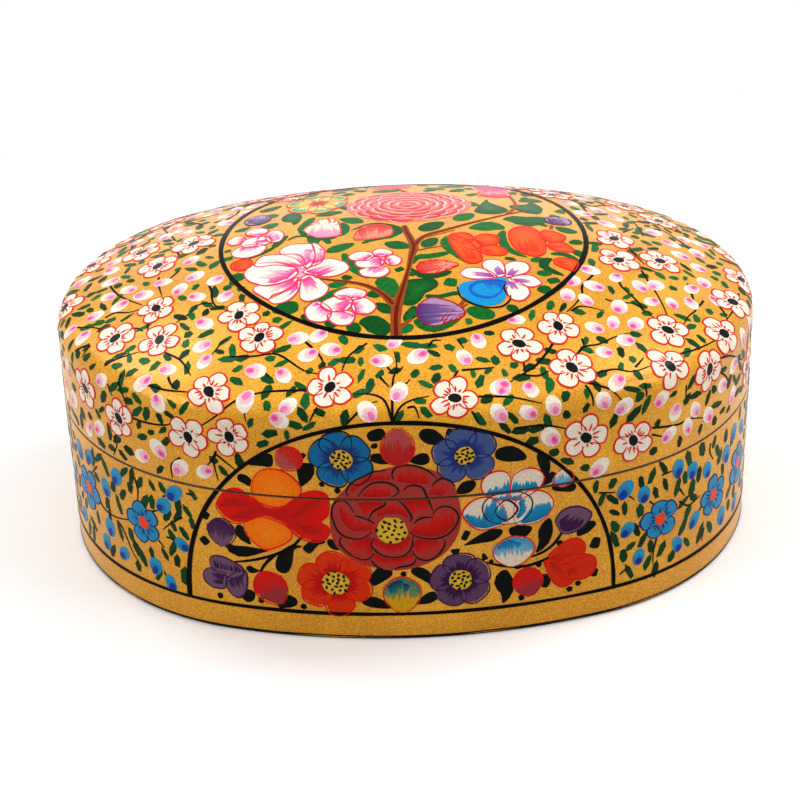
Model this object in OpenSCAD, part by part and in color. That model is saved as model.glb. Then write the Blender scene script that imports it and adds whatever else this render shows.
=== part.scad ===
// Oval papier mache box with a domed lift-off lid.
// Millimetres, X along the length, Y from front to back, Z up.
// The origin is the middle of the foot, on the surface that the box stands on.
//
// The box is built up closed from pasted paper, painted, and then sawn open along the seam.
// A collar is glued into the base, and the lid drops over it until the two rims meet.

/* [Plan] */
// Length of the box over its round ends
body_length = 200; // [170:1:240]
// Width of the box over its long sides
body_width = 150; // [120:1:165]
// How much smaller the radius of a round end is than half the width
end_inset = 5; // [3:0.5:10]

/* [Base] */
// Height of the base, from the foot to the seam
base_height = 45; // [36:0.5:56]
// Thickness of the pasted paper wall, the same in base and lid
wall_thickness = 3.5; // [2.5:0.1:5]
// How far the wall draws in from the seam down to the foot
foot_draw = 0.7; // [0:0.1:1.5]
// Radius that the bottom edge is rubbed down to
foot_radius = 1.2; // [0.5:0.1:1.6]
// Thickness of the floor board
floor_thickness = 3; // [2:0.1:5]
// Height of the floor board's underside above the foot
floor_lift = 0.8; // [0.4:0.1:2]

/* [Lid] */
// Height of the lid's upright wall, from the seam to the crown
lid_wall_height = 21; // [15:0.5:30]
// Height of the crown, from the top of the upright wall to the middle of the dome
crown_height = 24; // [16:0.5:32]
// Thickness of the moulded crown
crown_thickness = 3.5; // [2.5:0.1:5]
// Radius of the shoulder between the upright wall and the dome
shoulder_radius = 7; // [5.5:0.5:10]
// How flat the middle of the dome is: 2 is a parabola, more is flatter
dome_power = 2.3; // [2:0.1:3]

/* [Collar] */
// Thickness of the collar strip
collar_thickness = 1.8; // [1.2:0.1:3]
// How far the collar stands above the seam
collar_stand = 7; // [4:0.5:12]
// How far the collar reaches below the seam
collar_depth = 16; // [8:0.5:28]
// Bevel round both top edges of the collar
collar_bevel = 0.5; // [0.2:0.1:0.5]

/* [Fits] */
// Thickness of the glue between the wall and what is glued inside it
glue_line = 0.1; // [0.05:0.05:0.3]
// Gap all round between the collar and the lid that drops over it
lid_clearance = 0.4; // [0.3:0.05:0.8]
// Radius that the two painted rims are eased to, which makes the seam's groove
rim_ease = 0.4; // [0.2:0.1:0.8]
// Bevel inside the mouth of the lid that leads it on to the collar
mouth_bevel = 0.6; // [0.3:0.1:1]

/* [Hidden] */

// Facets in a full turn
turn_steps = 96;
// How far the sectors that part the arcs reach past the box, up and down
sector_margin = 1;
// Facets in a rounded edge of a profile
edge_steps = 4;
// Facets of the crown along one round end and along one long side, both even
crown_end_steps = 28;
crown_side_steps = 12;
// Rings of facets up the crown's shoulder and over its dome, outside and inside
outer_shoulder_rings = 6;
outer_dome_rings = 11;
inner_shoulder_rings = 3;
inner_dome_rings = 8;

gold_paint = "#d9a441";
black_lacquer = "#241d1a";

half_length = body_length / 2;
half_width = body_width / 2;

// The plan is a four-arc oval: two small arcs at the ends, two large ones along the sides.
// Where two arcs meet they share a normal, so joint_angle is the direction of that normal.
end_radius = half_width - end_inset;
end_centre = half_length - end_radius;
side_radius = (pow(half_length, 2) + pow(half_width, 2) - 2 * half_length * end_radius)
    / (2 * end_inset);
side_centre = side_radius - half_width;
joint_angle = atan2(side_centre, end_centre);

seam_z = base_height;
wall_top_z = seam_z + lid_wall_height;
crown_top_z = wall_top_z + crown_height;

// The collar's outer face against the base, and where it is thinned for the lid to pass
collar_outset = wall_thickness + glue_line;
collar_neck = wall_thickness + lid_clearance;
collar_inset = collar_outset + collar_thickness;
collar_edge = min(collar_bevel, (collar_inset - collar_neck) / 3);

// Points along an arc of a profile
function arc_points(centre, radius, from, to) =
    [for (i = [0 : edge_steps])
        let (turn = from + (to - from) * i / edge_steps)
        centre + radius * [cos(turn), sin(turn)]];

// A full turn of the profile in children(), whose x = 0 lies at radius
module turned_profile(radius) {
    rotate_extrude($fn = turn_steps)
        translate([radius, 0])
            children();
}

// A prism over outline that reaches past the box above and below
module sector(outline) {
    translate([0, 0, -sector_margin])
        linear_extrude(crown_top_z + 2 * sector_margin)
            polygon(outline);
}

// Joins the oval from its four arcs. children(0) is a round body for the end arcs and
// children(1) one for the side arcs, each drawn about its own centre. They are cut along
// the normals that neighbouring arcs share.
module oval_body() {
    corner = [end_centre, 0];
    far_corner = corner + body_length * [end_centre / side_centre, 1];
    far_end = far_corner.x + body_length;
    for (half_turn = [0, 180]) {
        rotate([0, 0, half_turn]) {
            intersection() {
                translate([end_centre, 0, 0])
                    children(0);
                sector([corner, [far_corner.x, -far_corner.y], [far_end, -far_corner.y],
                    [far_end, far_corner.y], far_corner]);
            }
            intersection() {
                translate([0, -side_centre, 0])
                    children(1);
                sector([[-corner.x, 0], corner, far_corner, [-far_corner.x, far_corner.y]]);
            }
        }
    }
}

// Sweeps the profile in children() right round the oval.
// In the profile x = 0 is the outer face at the seam, and the inside of the box is at x < 0.
module oval_sweep() {
    oval_body() {
        turned_profile(end_radius)
            children();
        turned_profile(side_radius)
            children();
    }
}

// A flat plate of the oval's outline, drawn in by inset all round
module oval_plate(inset, thickness) {
    oval_body() {
        cylinder(h = thickness, r = end_radius - inset, $fn = turn_steps);
        cylinder(h = thickness, r = side_radius - inset, $fn = turn_steps);
    }
}

// Directions of the oval's normal, arc by arc, each arc cut into equal steps
outline_turns = concat(
    [for (i = [0 : crown_end_steps - 1])
        -joint_angle + 2 * joint_angle * i / crown_end_steps],
    [for (i = [0 : crown_side_steps - 1])
        joint_angle + (180 - 2 * joint_angle) * i / crown_side_steps],
    [for (i = [0 : crown_end_steps - 1])
        180 - joint_angle + 2 * joint_angle * i / crown_end_steps],
    [for (i = [0 : crown_side_steps - 1])
        180 + joint_angle + (180 - 2 * joint_angle) * i / crown_side_steps]);
around = len(outline_turns);

// The point of the outline whose normal points along turn, drawn in by inset
function on_end(turn) = abs(sin(turn)) <= sin(joint_angle) + 1e-9;
function outline_point(turn, inset) =
    on_end(turn)
    ? [sign(cos(turn)) * end_centre, 0] + (end_radius - inset) * [cos(turn), sin(turn)]
    : [0, -sign(sin(turn)) * side_centre] + (side_radius - inset) * [cos(turn), sin(turn)];

// How far the shoulder turns inwards before the dome takes over at the same slope.
// Each pass works the dome's slope out again from where the shoulder then ends.
function shoulder_turn(turn, inset, radius, top_z, bend = 60, passes = 6) =
    passes == 0
    ? bend
    : let (reach = norm(outline_point(turn, inset + radius * (1 - cos(bend)))),
           rise = top_z - wall_top_z - radius * sin(bend))
      shoulder_turn(turn, inset, radius, top_z, atan(reach / (rise * dome_power)), passes - 1);

// One ring of a crown surface. level runs from 0 at the wall to shoulder_rings at the end
// of the shoulder, and on over the dome towards the middle.
function crown_ring(level, inset, radius, top_z, shoulder_rings, dome_rings) =
    [for (turn = outline_turns)
        let (bend = shoulder_turn(turn, inset, radius, top_z),
             part_bend = bend * min(level / shoulder_rings, 1),
             edge = outline_point(turn, inset + radius * (1 - cos(part_bend))),
             edge_z = wall_top_z + radius * sin(part_bend),
             reach = 1 - max(level - shoulder_rings, 0) / dome_rings)
        [edge.x * reach, edge.y * reach, top_z - (top_z - edge_z) * pow(reach, dome_power)]];

// All rings of one surface of the crown, and its topmost point
function crown_surface(inset, radius, top_z, shoulder_rings, dome_rings) = concat(
    [for (level = [0 : shoulder_rings + dome_rings - 1])
        each crown_ring(level, inset, radius, top_z, shoulder_rings, dome_rings)],
    [[0, 0, top_z]]);

// Triangles between ring a and ring b, clockwise seen from the side that b lies up from a
function band(a, b) =
    [for (i = [0 : around - 1])
        let (j = (i + 1) % around)
        each [[a + i, b + i, b + j], [a + i, b + j, a + j]]];

function turned_over(faces) = [for (face = faces) [face[0], face[2], face[1]]];

// Triangles of one surface whose first point is number first
function surface_faces(first, rings) = concat(
    [for (level = [0 : rings - 2]) each band(first + level * around, first + (level + 1) * around)],
    [for (i = [0 : around - 1])
        [first + (rings - 1) * around + i,
         first + rings * around,
         first + (rings - 1) * around + (i + 1) % around]]);

// The moulded crown: shoulder and dome as one shell
module crown_shell() {
    outer_rings = outer_shoulder_rings + outer_dome_rings;
    inner_rings = inner_shoulder_rings + inner_dome_rings;
    inner_first = outer_rings * around + 1;
    inner_radius = max(shoulder_radius - crown_thickness, 1);
    outer_points = crown_surface(0, shoulder_radius, crown_top_z,
        outer_shoulder_rings, outer_dome_rings);
    inner_points = crown_surface(wall_thickness, inner_radius, crown_top_z - crown_thickness,
        inner_shoulder_rings, inner_dome_rings);
    polyhedron(
        points = concat(outer_points, inner_points),
        faces = concat(
            surface_faces(0, outer_rings),
            turned_over(surface_faces(inner_first, inner_rings)),
            turned_over(band(0, inner_first))));
}

// Oval wall of the base, drawn in to a rubbed-down foot
module base_wall() {
    color(gold_paint)
        oval_sweep()
            polygon(concat(
                [[-wall_thickness, 0]],
                arc_points([-foot_draw - foot_radius, foot_radius], foot_radius, -90, 0),
                arc_points([-rim_ease, seam_z - rim_ease], rim_ease, 0, 90),
                [[-wall_thickness, seam_z]]));
}

// Floor board, glued inside the wall just above the foot
module base_floor() {
    color(black_lacquer)
        translate([0, 0, floor_lift])
            oval_plate(wall_thickness + glue_line, floor_thickness);
}

// Collar strip, glued inside the base and thinned above the seam, where the lid drops over it
module locating_collar() {
    bottom_z = seam_z - collar_depth;
    top_z = seam_z + collar_stand;
    color(black_lacquer)
        oval_sweep()
            polygon([
                [-collar_inset, bottom_z],
                [-collar_outset, bottom_z],
                [-collar_outset, seam_z],
                [-collar_neck, seam_z],
                [-collar_neck, top_z - collar_edge],
                [-collar_neck - collar_edge, top_z],
                [-collar_inset + collar_edge, top_z],
                [-collar_inset, top_z - collar_edge]]);
}

// Upright wall of the lid, whose rim rests on the rim of the base
module lid_wall() {
    color(gold_paint)
        oval_sweep()
            polygon(concat(
                [[-wall_thickness + mouth_bevel, seam_z]],
                arc_points([-rim_ease, seam_z + rim_ease], rim_ease, -90, 0),
                [[0, wall_top_z],
                 [-wall_thickness, wall_top_z],
                 [-wall_thickness, seam_z + mouth_bevel]]));
}

// Domed top, glued on the upright wall
module lid_crown() {
    color(gold_paint)
        crown_shell();
}

base_wall();
base_floor();
locating_collar();
lid_wall();
lid_crown();
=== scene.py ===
# Oval Kashmiri papier mache box: flowers painted on a gold ground, under varnish.
# Faces and paint are worked out in millimetres, and a finished mesh is turned to metres.
#
# The outside of the box is charted by two numbers: s, the way round the outline from the
# middle of the front, growing towards the right end, and h, the height. Above the upright
# wall h carries on over the shoulder and up the dome. The round picture on the lid has
# a chart of its own, x and y.
import math
import random

import bmesh
import bpy
import numpy as np
from mathutils import Matrix, Vector


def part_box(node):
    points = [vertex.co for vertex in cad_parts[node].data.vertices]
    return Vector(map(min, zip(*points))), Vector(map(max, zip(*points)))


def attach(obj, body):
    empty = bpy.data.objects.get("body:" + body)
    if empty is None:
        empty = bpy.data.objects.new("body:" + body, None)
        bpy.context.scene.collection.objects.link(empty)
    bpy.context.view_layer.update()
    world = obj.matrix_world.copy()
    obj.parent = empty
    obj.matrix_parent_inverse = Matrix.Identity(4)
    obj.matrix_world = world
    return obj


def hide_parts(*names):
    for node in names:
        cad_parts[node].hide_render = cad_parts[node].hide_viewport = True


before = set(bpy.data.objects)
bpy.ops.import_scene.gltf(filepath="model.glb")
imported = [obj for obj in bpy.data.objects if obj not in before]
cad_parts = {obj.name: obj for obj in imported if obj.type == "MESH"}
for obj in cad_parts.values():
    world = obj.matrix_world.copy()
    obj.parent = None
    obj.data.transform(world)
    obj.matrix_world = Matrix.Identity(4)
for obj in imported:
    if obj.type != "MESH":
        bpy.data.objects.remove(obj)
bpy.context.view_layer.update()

MM = 0.001


def corners(cad_node):
    """Lowest and highest corner of a CAD node, in millimetres."""
    return [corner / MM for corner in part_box(cad_node)]


# Plan of the box, a four-arc oval
END_INSET = 5.0
HALF_LENGTH, HALF_WIDTH, SEAM = corners("base_wall")[1]
END_RADIUS = HALF_WIDTH - END_INSET
END_CENTRE = HALF_LENGTH - END_RADIUS
SIDE_RADIUS = ((HALF_LENGTH**2 + HALF_WIDTH**2 - 2 * HALF_LENGTH * END_RADIUS)
               / (2 * (HALF_WIDTH - END_RADIUS)))
SIDE_CENTRE = SIDE_RADIUS - HALF_WIDTH
JOINT = math.atan2(SIDE_CENTRE, END_CENTRE)
SIDE_RUN = SIDE_RADIUS * (math.pi / 2 - JOINT)
END_RUN = END_RADIUS * JOINT
ROUND = 4 * (SIDE_RUN + END_RUN)

# Profile of the wall and the lid
WALL = 3.5
FOOT_DRAW = 0.7
FOOT_RADIUS = 1.2
RIM_RADIUS = 0.4
WALL_TOP = corners("lid_wall")[1].z
CROWN_TOP = corners("lid_crown")[1].z
SHOULDER_RADIUS = 7.0
DOME_POWER = 2.3

# What the painter ruled first, and the black band round the very foot
RULE_HEIGHT = 8.4
ARCH_MIDDLE = -5.3
ARCH_HALF_WIDTH = 60.4
ARCH_TOP = 68.0
ARCH_POWER = 2.12
RING_RADIUS = 52.0
# Height of a black band round the very foot, just above the floor
FOOT_LINE = 0.75

# How far each coat of paint stands above the ground, and how deep its edge is sunk
LEAF = 0.07
BRANCH = 0.09
PETAL = 0.11
SHADE = 0.13
LINE = 0.15
EYE = 0.17
DOT = 0.19
SUNK = 0.08


def heading(s):
    """Direction of the outline's normal, s mm round from the middle of the front."""
    s = (np.asarray(s, float) + ROUND / 2) % ROUND - ROUND / 2
    way = np.abs(s)
    turn = np.where(
        way < SIDE_RUN, way / SIDE_RADIUS,
        np.where(way < SIDE_RUN + 2 * END_RUN,
                 math.pi / 2 - JOINT + (way - SIDE_RUN) / END_RADIUS,
                 math.pi - (ROUND / 2 - way) / SIDE_RADIUS))
    return -math.pi / 2 + np.sign(s) * turn


def outline(turn, inset):
    """The point of the oval, drawn in by inset, whose normal points along turn."""
    along, across = np.cos(turn), np.sin(turn)
    on_side = np.abs(across) > math.sin(JOINT)
    x = np.where(on_side, (SIDE_RADIUS - inset) * along,
                 np.sign(along) * END_CENTRE + (END_RADIUS - inset) * along)
    y = np.where(on_side, (SIDE_RADIUS - inset) * across - np.sign(across) * SIDE_CENTRE,
                 (END_RADIUS - inset) * across)
    return x, y


def eased(distance, radius):
    """How far a rounded edge lies inside the face, at a distance from that edge."""
    return radius - np.sqrt(radius**2 - (radius - np.clip(distance, 0, radius))**2)


def shoulder(turn, inset=0.0, radius=SHOULDER_RADIUS, top=CROWN_TOP):
    """How far the shoulder bends before the dome goes on, and where it ends."""
    bend = np.full(np.shape(turn), 1.0)
    for _ in range(8):
        x, y = outline(turn, inset + radius * (1 - np.cos(bend)))
        rise = top - WALL_TOP - radius * np.sin(bend)
        bend = np.arctan(np.hypot(x, y) / (rise * DOME_POWER))
    x, y = outline(turn, inset + radius * (1 - np.cos(bend)))
    return bend, x, y, WALL_TOP + radius * np.sin(bend)


def crown(s, h, inset=0.0, radius=SHOULDER_RADIUS, top=CROWN_TOP):
    """Upright wall, shoulder and dome of the lid, as points over the chart of s and h."""
    turn = heading(s)
    bend, edge_x, edge_y, edge_z = shoulder(turn, inset, radius, top)
    over = h - WALL_TOP
    part = np.clip(over / radius, 0, bend)
    x, y = outline(turn, inset + radius * (1 - np.cos(part)))
    z = np.where(over < 0, h, WALL_TOP + radius * np.sin(part))
    slant = np.hypot(np.hypot(edge_x, edge_y), top - edge_z)
    left = np.clip(1 - (over - radius * bend) / slant, 0, 1)
    on_dome = over > radius * bend
    x = np.where(on_dome, edge_x * left, x)
    y = np.where(on_dome, edge_y * left, y)
    z = np.where(on_dome, top - (top - edge_z) * left**DOME_POWER, z)
    return np.stack([x, y, z], -1)


def outside(s, h):
    """Outer face of base and lid, with the eased foot and rims."""
    s, h = np.broadcast_arrays(np.asarray(s, float), np.asarray(h, float))
    upright = SEAM - RIM_RADIUS - FOOT_RADIUS
    inset = (FOOT_DRAW * np.clip((SEAM - RIM_RADIUS - h) / upright, 0, 1)
             + eased(h, FOOT_RADIUS) + eased(np.abs(h - SEAM), RIM_RADIUS))
    x, y = outline(heading(s), inset)
    low = np.stack([x, y, h], -1)
    return np.where((h < WALL_TOP)[..., None], low, crown(s, h))


# Where the dome meets the shoulder, all the way round
EDGE_TURN = np.linspace(-math.pi, math.pi, 721)[1:]
_, EDGE_X, EDGE_Y, EDGE_Z = shoulder(EDGE_TURN)
EDGE_ANGLE = np.arctan2(EDGE_Y, EDGE_X)


def dome(x, y):
    """Outer face of the dome, over the chart of x and y."""
    angle = np.arctan2(y, x)
    full = 2 * math.pi
    reach = np.interp(angle, EDGE_ANGLE, np.hypot(EDGE_X, EDGE_Y), period=full)
    edge_z = np.interp(angle, EDGE_ANGLE, EDGE_Z, period=full)
    left = np.hypot(x, y) / reach
    return np.stack([x, y, CROWN_TOP - (CROWN_TOP - edge_z) * left**DOME_POWER], -1)


def slopes(chart, u, v):
    """Point, the two directions that the chart's lines take there, and the normal."""
    step = 0.02
    point = chart(u, v)
    along = (chart(u + step, v) - chart(u - step, v)) / (2 * step)
    up = (chart(u, v + step) - chart(u, v - step)) / (2 * step)
    normal = np.cross(along, up)
    normal /= np.linalg.norm(normal, axis=-1, keepdims=True)
    return point, along, up, normal


# Colours, materials and node helpers


def linear(colour):
    """A colour written as sRGB hex, as Blender's linear values."""
    parts = [int(colour[i:i + 2], 16) / 255 for i in (1, 3, 5)]
    parts = [c / 12.92 if c <= 0.04045 else ((c + 0.055) / 1.055)**2.4 for c in parts]
    return (*parts, 1.0)


def node(material, kind, settings=None, links=None):
    """Adds a shader node, with its attributes or input values set and inputs linked."""
    made = material.node_tree.nodes.new(kind)
    for name, value in (settings or {}).items():
        if isinstance(name, int) or name in made.inputs:
            made.inputs[name].default_value = value
        else:
            setattr(made, name, value)
    for name, source in (links or {}).items():
        material.node_tree.links.new(source, made.inputs[name])
    return made


def ramp(material, factor, stops):
    """A colour ramp over factor, with stops of position and colour."""
    made = node(material, "ShaderNodeValToRGB", links={"Fac": factor})
    made.color_ramp.elements[0].position = stops[0][0]
    made.color_ramp.elements[0].color = linear(stops[0][1])
    made.color_ramp.elements[1].position = stops[-1][0]
    made.color_ramp.elements[1].color = linear(stops[-1][1])
    for position, colour in stops[1:-1]:
        made.color_ramp.elements.new(position).color = linear(colour)
    return made.outputs["Color"]


def new_material(name):
    """An empty node material."""
    material = bpy.data.materials.new(name)
    material.use_nodes = True
    material.node_tree.nodes.clear()
    return material


def object_place(material):
    """Object coordinates, which for every piece are the box's own, in metres."""
    return node(material, "ShaderNodeTexCoord").outputs["Object"]


def finish_material(material, colour, normal, settings):
    """Ends a material in a Principled surface with that colour and bump."""
    surface = node(material, "ShaderNodeBsdfPrincipled", settings,
                   {"Base Color": colour, "Normal": normal})
    output = node(material, "ShaderNodeOutputMaterial")
    material.node_tree.links.new(surface.outputs["BSDF"], output.inputs["Surface"])
    return material


# The varnish that lies over the whole painting: thin, hand brushed and rubbed down,
# so it gleams softly and its reflection has a slightly broken edge
VARNISH_ROUGHNESS = 0.27
VARNISH_IOR = 1.40
# Grains of bronze powder are finer than 0.1 mm, too fine to show, so they are drawn
# coarser. The clouds are where the size took the powder better or worse.
BRONZE_GRAIN = 0.4
BRONZE_CLOUD = 22


def varnish_bump(material, grain_mm, depth_mm, strength):
    """Bump of brushed varnish over the grain that lies under it."""
    grain = node(material, "ShaderNodeTexNoise",
                 {"Scale": 1 / (grain_mm * MM), "Detail": 2.0, "Roughness": 0.6},
                 {"Vector": object_place(material)})
    bump = node(material, "ShaderNodeBump", {"Strength": strength, "Distance": depth_mm * MM},
                {"Height": grain.outputs["Fac"]})
    return grain.outputs["Fac"], bump.outputs["Normal"]


def gold_ground():
    """Bronze powder bound in gum and brushed on paper: warm, faintly sparkling gold."""
    material = new_material("bronze_powder_gold")
    grain, normal = varnish_bump(material, BRONZE_GRAIN, 0.06, 0.95)
    cloud = node(material, "ShaderNodeTexNoise",
                 {"Scale": 1 / (BRONZE_CLOUD * MM), "Detail": 3.0},
                 {"Vector": object_place(material)})
    fleck = node(material, "ShaderNodeMix", {"data_type": "FLOAT", 0: 0.75},
                 {2: cloud.outputs["Fac"], 3: grain})
    colour = ramp(material, fleck.outputs[0],
                  [(0.33, "#B0700A"), (0.5, "#DA9512"), (0.67, "#F8B834")])
    return finish_material(
        material, colour, normal,
        {"Metallic": 0.15, "Roughness": 0.29, "IOR": 1.42, "Specular IOR Level": 0.38})


def rim_paint():
    """Paper edge left where the box was sawn open, sealed with amber varnish."""
    material = new_material("amber_varnished_paper")
    grain, normal = varnish_bump(material, 0.6, 0.08, 0.6)
    colour = ramp(material, grain, [(0.35, "#2A1205"), (0.6, "#5E300E")])
    return finish_material(material, colour, normal, {"Roughness": 0.4, "IOR": VARNISH_IOR})


def black_lacquer():
    """Lampblack in varnish, brushed inside the box: near black, soft brush ripples."""
    material = new_material("lampblack_lacquer")
    grain, normal = varnish_bump(material, 1.4, 0.06, 0.35)
    colour = ramp(material, grain, [(0.35, "#120F0D"), (0.65, "#1F1A16")])
    return finish_material(material, colour, normal, {"Roughness": 0.3, "IOR": 1.45})


def tempera(name, shade, brush_mm, depth, gloss):
    """Gum-bound pigment, tinted stroke by stroke, with the streaks of a squirrel brush."""
    material = new_material(name)
    grain, normal = varnish_bump(material, brush_mm, 0.04, 0.35)
    stroke = node(material, "ShaderNodeAttribute", {"attribute_name": "tint"})
    streak = ramp(material, grain, [(0.25, shade), (0.62, "#FFFFFF")])
    colour = node(material, "ShaderNodeMix",
                  {"data_type": "RGBA", "blend_type": "MULTIPLY", "Factor": depth},
                  {6: stroke.outputs["Color"], 7: streak})
    return finish_material(
        material, colour.outputs[2], normal,
        {"Roughness": VARNISH_ROUGHNESS, "IOR": VARNISH_IOR, "Specular IOR Level": gloss})


GOLD = gold_ground()
RIM = rim_paint()
LACQUER = black_lacquer()
FLOWER_PAINT = tempera("flower_tempera", "#C9B9A8", 0.7, 0.45, 0.1)
LEAF_PAINT = tempera("leaf_tempera", "#7C8A70", 0.8, 0.6, 0.06)
LINE_PAINT = tempera("line_ink", "#9A8A80", 0.6, 0.5, 0.04)


# Shells: what the painter paints on


def add_object(shape, name, materials):
    """Makes a finished bmesh an object of the scene."""
    mesh = bpy.data.meshes.new(name)
    shape.to_mesh(mesh)
    shape.free()
    for material in materials:
        mesh.materials.append(material)
    piece = bpy.data.objects.new(name, mesh)
    bpy.context.scene.collection.objects.link(piece)
    return piece


def add_piece(shape, name, body, materials, replaced=()):
    """Makes a finished bmesh a piece that rides on a body."""
    piece = add_object(shape, name, materials)
    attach(piece, body)
    if replaced:
        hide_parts(*replaced)
    return piece


def swept_shell(profile):
    """Sweeps a closed profile round the oval. profile lists functions of s that give
    the points of one ring, in order from the outer face to the inner one."""
    shell = bmesh.new()
    bmesh.ops.create_grid(shell, x_segments=AROUND, y_segments=len(profile) - 1, size=1)
    s = np.linspace(0, ROUND, AROUND + 1)
    rings = [ring(s) for ring in profile]
    for vert in shell.verts:
        column = round((vert.co.x + 1) / 2 * AROUND)
        row = round((vert.co.y + 1) / 2 * (len(profile) - 1))
        vert.co = rings[row][column]
    bmesh.ops.remove_doubles(shell, verts=shell.verts, dist=0.001)
    for face in shell.faces:
        face.smooth = True
    return shell


def ring_at(h, inset=0.0):
    """A ring of the outer face at height h, drawn in by inset."""
    if inset == 0.0:
        return lambda s: outside(s, h)

    def inner(s):
        x, y = outline(heading(s), inset)
        return np.stack([x, y, np.full(np.shape(s), float(h))], -1)
    return inner


def crown_ring(h, inset, radius, top):
    """A ring of a face that lies inside the crown's, with a shoulder of its own."""
    return lambda s: crown(s, np.full(np.shape(s), float(h)), inset, radius, top)


def arc_steps(radius, count):
    """Heights at even turns up a quarter round of that radius."""
    return [radius * (1 - math.cos(math.pi / 2 * i / count)) for i in range(count + 1)]


# How many faces a shell has round the oval, and how many rings its parts have
AROUND = 288
EASING_RINGS = 4
BASE_WALL_RINGS = 9
LID_WALL_RINGS = 5
SHOULDER_RINGS = 10
DOME_RINGS = 40
INNER_RINGS = 36
INNER_BEND_RADIUS = SHOULDER_RADIUS - WALL
# Roughly how much h the shoulder and the dome take from the wall's top to the middle
SHOULDER_RUN = 9.2
DOME_RUN = 104.0
# Chamfer of the lid's inner rim
MOUTH = 0.6
# What a face of a shell carries, as numbers of its materials
ON_GOLD, ON_RIM, ON_LACQUER = range(3)
# How close to the seam's plane a face's middle has to be to lie on it
NEAR = 0.01


def faces_in(middle, normal):
    """Whether an upright face looks towards the middle of the box."""
    return middle.x * normal.x + middle.y * normal.y < 0


def finish_shell(shell, rule, name, body, replaced):
    """Ends a shell whose faces carry what rule says for their middle and normal."""
    shell.normal_update()
    for face in shell.faces:
        face.material_index = rule(face.calc_center_median(), face.normal)
    bmesh.ops.scale(shell, vec=(MM, MM, MM), verts=shell.verts)
    add_piece(shell, name, body, [GOLD, RIM, LACQUER], replaced)


def base_shell():
    """The wall of the base, from the foot up over the rim and down to the floor board."""
    floor_top = corners("base_floor")[1].z
    upright = np.linspace(FOOT_RADIUS, SEAM - RIM_RADIUS, BASE_WALL_RINGS)
    easing = arc_steps(RIM_RADIUS, EASING_RINGS)
    profile = ([ring_at(0, WALL), ring_at(0, FOOT_DRAW + FOOT_RADIUS)]
               + [ring_at(h) for h in arc_steps(FOOT_RADIUS, EASING_RINGS)[1:]]
               + [ring_at(h) for h in upright[1:]]
               + [ring_at(SEAM - h) for h in reversed(easing[1:-1])]
               + [ring_at(SEAM, RIM_RADIUS), ring_at(SEAM, WALL), ring_at(floor_top, WALL),
                  ring_at(0, WALL)])
    shell = swept_shell(profile)

    def rule(middle, normal):
        if abs(middle.z - SEAM) < NEAR or faces_in(middle, normal):
            return ON_LACQUER
        return ON_RIM if SEAM - RIM_RADIUS < middle.z < SEAM - NEAR else ON_GOLD
    finish_shell(shell, rule, "base_shell", "base", ["base_wall"])


def lid_shell():
    """The lid's wall and crown, from the rim over the dome and back down inside."""
    inner_top = CROWN_TOP - WALL
    upright = np.linspace(SEAM + RIM_RADIUS, WALL_TOP, LID_WALL_RINGS)
    bend = np.linspace(WALL_TOP, WALL_TOP + SHOULDER_RUN, SHOULDER_RINGS)
    vault = np.linspace(WALL_TOP + SHOULDER_RUN, WALL_TOP + DOME_RUN, DOME_RINGS)
    inner_h = np.linspace(WALL_TOP + DOME_RUN, WALL_TOP, INNER_RINGS)
    profile = ([ring_at(SEAM, RIM_RADIUS)]
               + [ring_at(SEAM + h) for h in arc_steps(RIM_RADIUS, EASING_RINGS)[1:]]
               + [ring_at(h) for part in (upright, bend, vault) for h in part[1:]]
               + [crown_ring(h, WALL, INNER_BEND_RADIUS, inner_top) for h in inner_h]
               + [ring_at(SEAM + MOUTH, WALL), ring_at(SEAM, WALL - MOUTH),
                  ring_at(SEAM, RIM_RADIUS)])
    shell = swept_shell(profile)

    def rule(middle, normal):
        # The outer easing of the rim looks away from the middle, the chamfer inside doesn't
        away = middle.x * normal.x + middle.y * normal.y + 3 * middle.z * normal.z
        if SEAM + NEAR < middle.z < SEAM + RIM_RADIUS and away > 0:
            return ON_RIM
        inner = (abs(middle.z - SEAM) < NEAR or normal.z < -0.05
                 or middle.z < WALL_TOP + 1 and faces_in(middle, normal))
        return ON_LACQUER if inner else ON_GOLD
    finish_shell(shell, rule, "lid_shell", "lid", ["lid_wall", "lid_crown"])


base_shell()
lid_shell()
for name in ("base_floor", "locating_collar"):
    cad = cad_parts[name]
    cad.data.materials.clear()
    cad.data.materials.append(LACQUER)


# Paint: flat films are drawn in a chart, cut at the seam, thickened and laid on the box

PALETTE = {
    "white": "#F8EEDD", "cream": "#F0E2CC", "bone": "#EADBC8", "blush": "#F5A6C4",
    "pink": "#F07CB4", "magenta": "#E8287E", "outline": "#D8281A", "black": "#080706",
    "twig": "#120D0A", "leaf": "#0A2C14", "leaf_pale_and_lit": "#1C6A32", "grass": "#17702B",
    "grass_deep": "#0E4A1A", "bark": "#9A4620", "bark_deep": "#6A1C0C", "sky": "#2A93C4",
    "sky_deep": "#1C74AE", "azure": "#1E9AC8", "azure_deep": "#1668A0",
    "cornflower": "#0F6AA0", "slate": "#44588C", "navy": "#191C5E", "orange_eye": "#F0481A",
    "rose": "#AC3630", "crimson": "#A80A0A", "scarlet": "#DC160E", "coral": "#E84032",
    "salmon": "#F08A78", "peony": "#F27C72", "flame": "#F83C10", "poppy": "#E03408",
    "orange": "#FF7206", "orange_red": "#DC2A08", "plum": "#6E5069", "plum_warm": "#5E3C60",
    "plum_deep": "#3A1045", "yolk": "#DDB02A", "yolk_light": "#E8C23C",
}


def tint(name):
    """A colour of the palette, or one written as hex, as linear values."""
    return linear(PALETTE.get(name, name))


def mixed(first, second, share):
    """A tint between two others."""
    return tuple(a + (b - a) * share for a, b in zip(first, second))


def blend(first, second, share):
    """A tint between two that are named."""
    return mixed(tint(first), tint(second), share)


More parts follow.
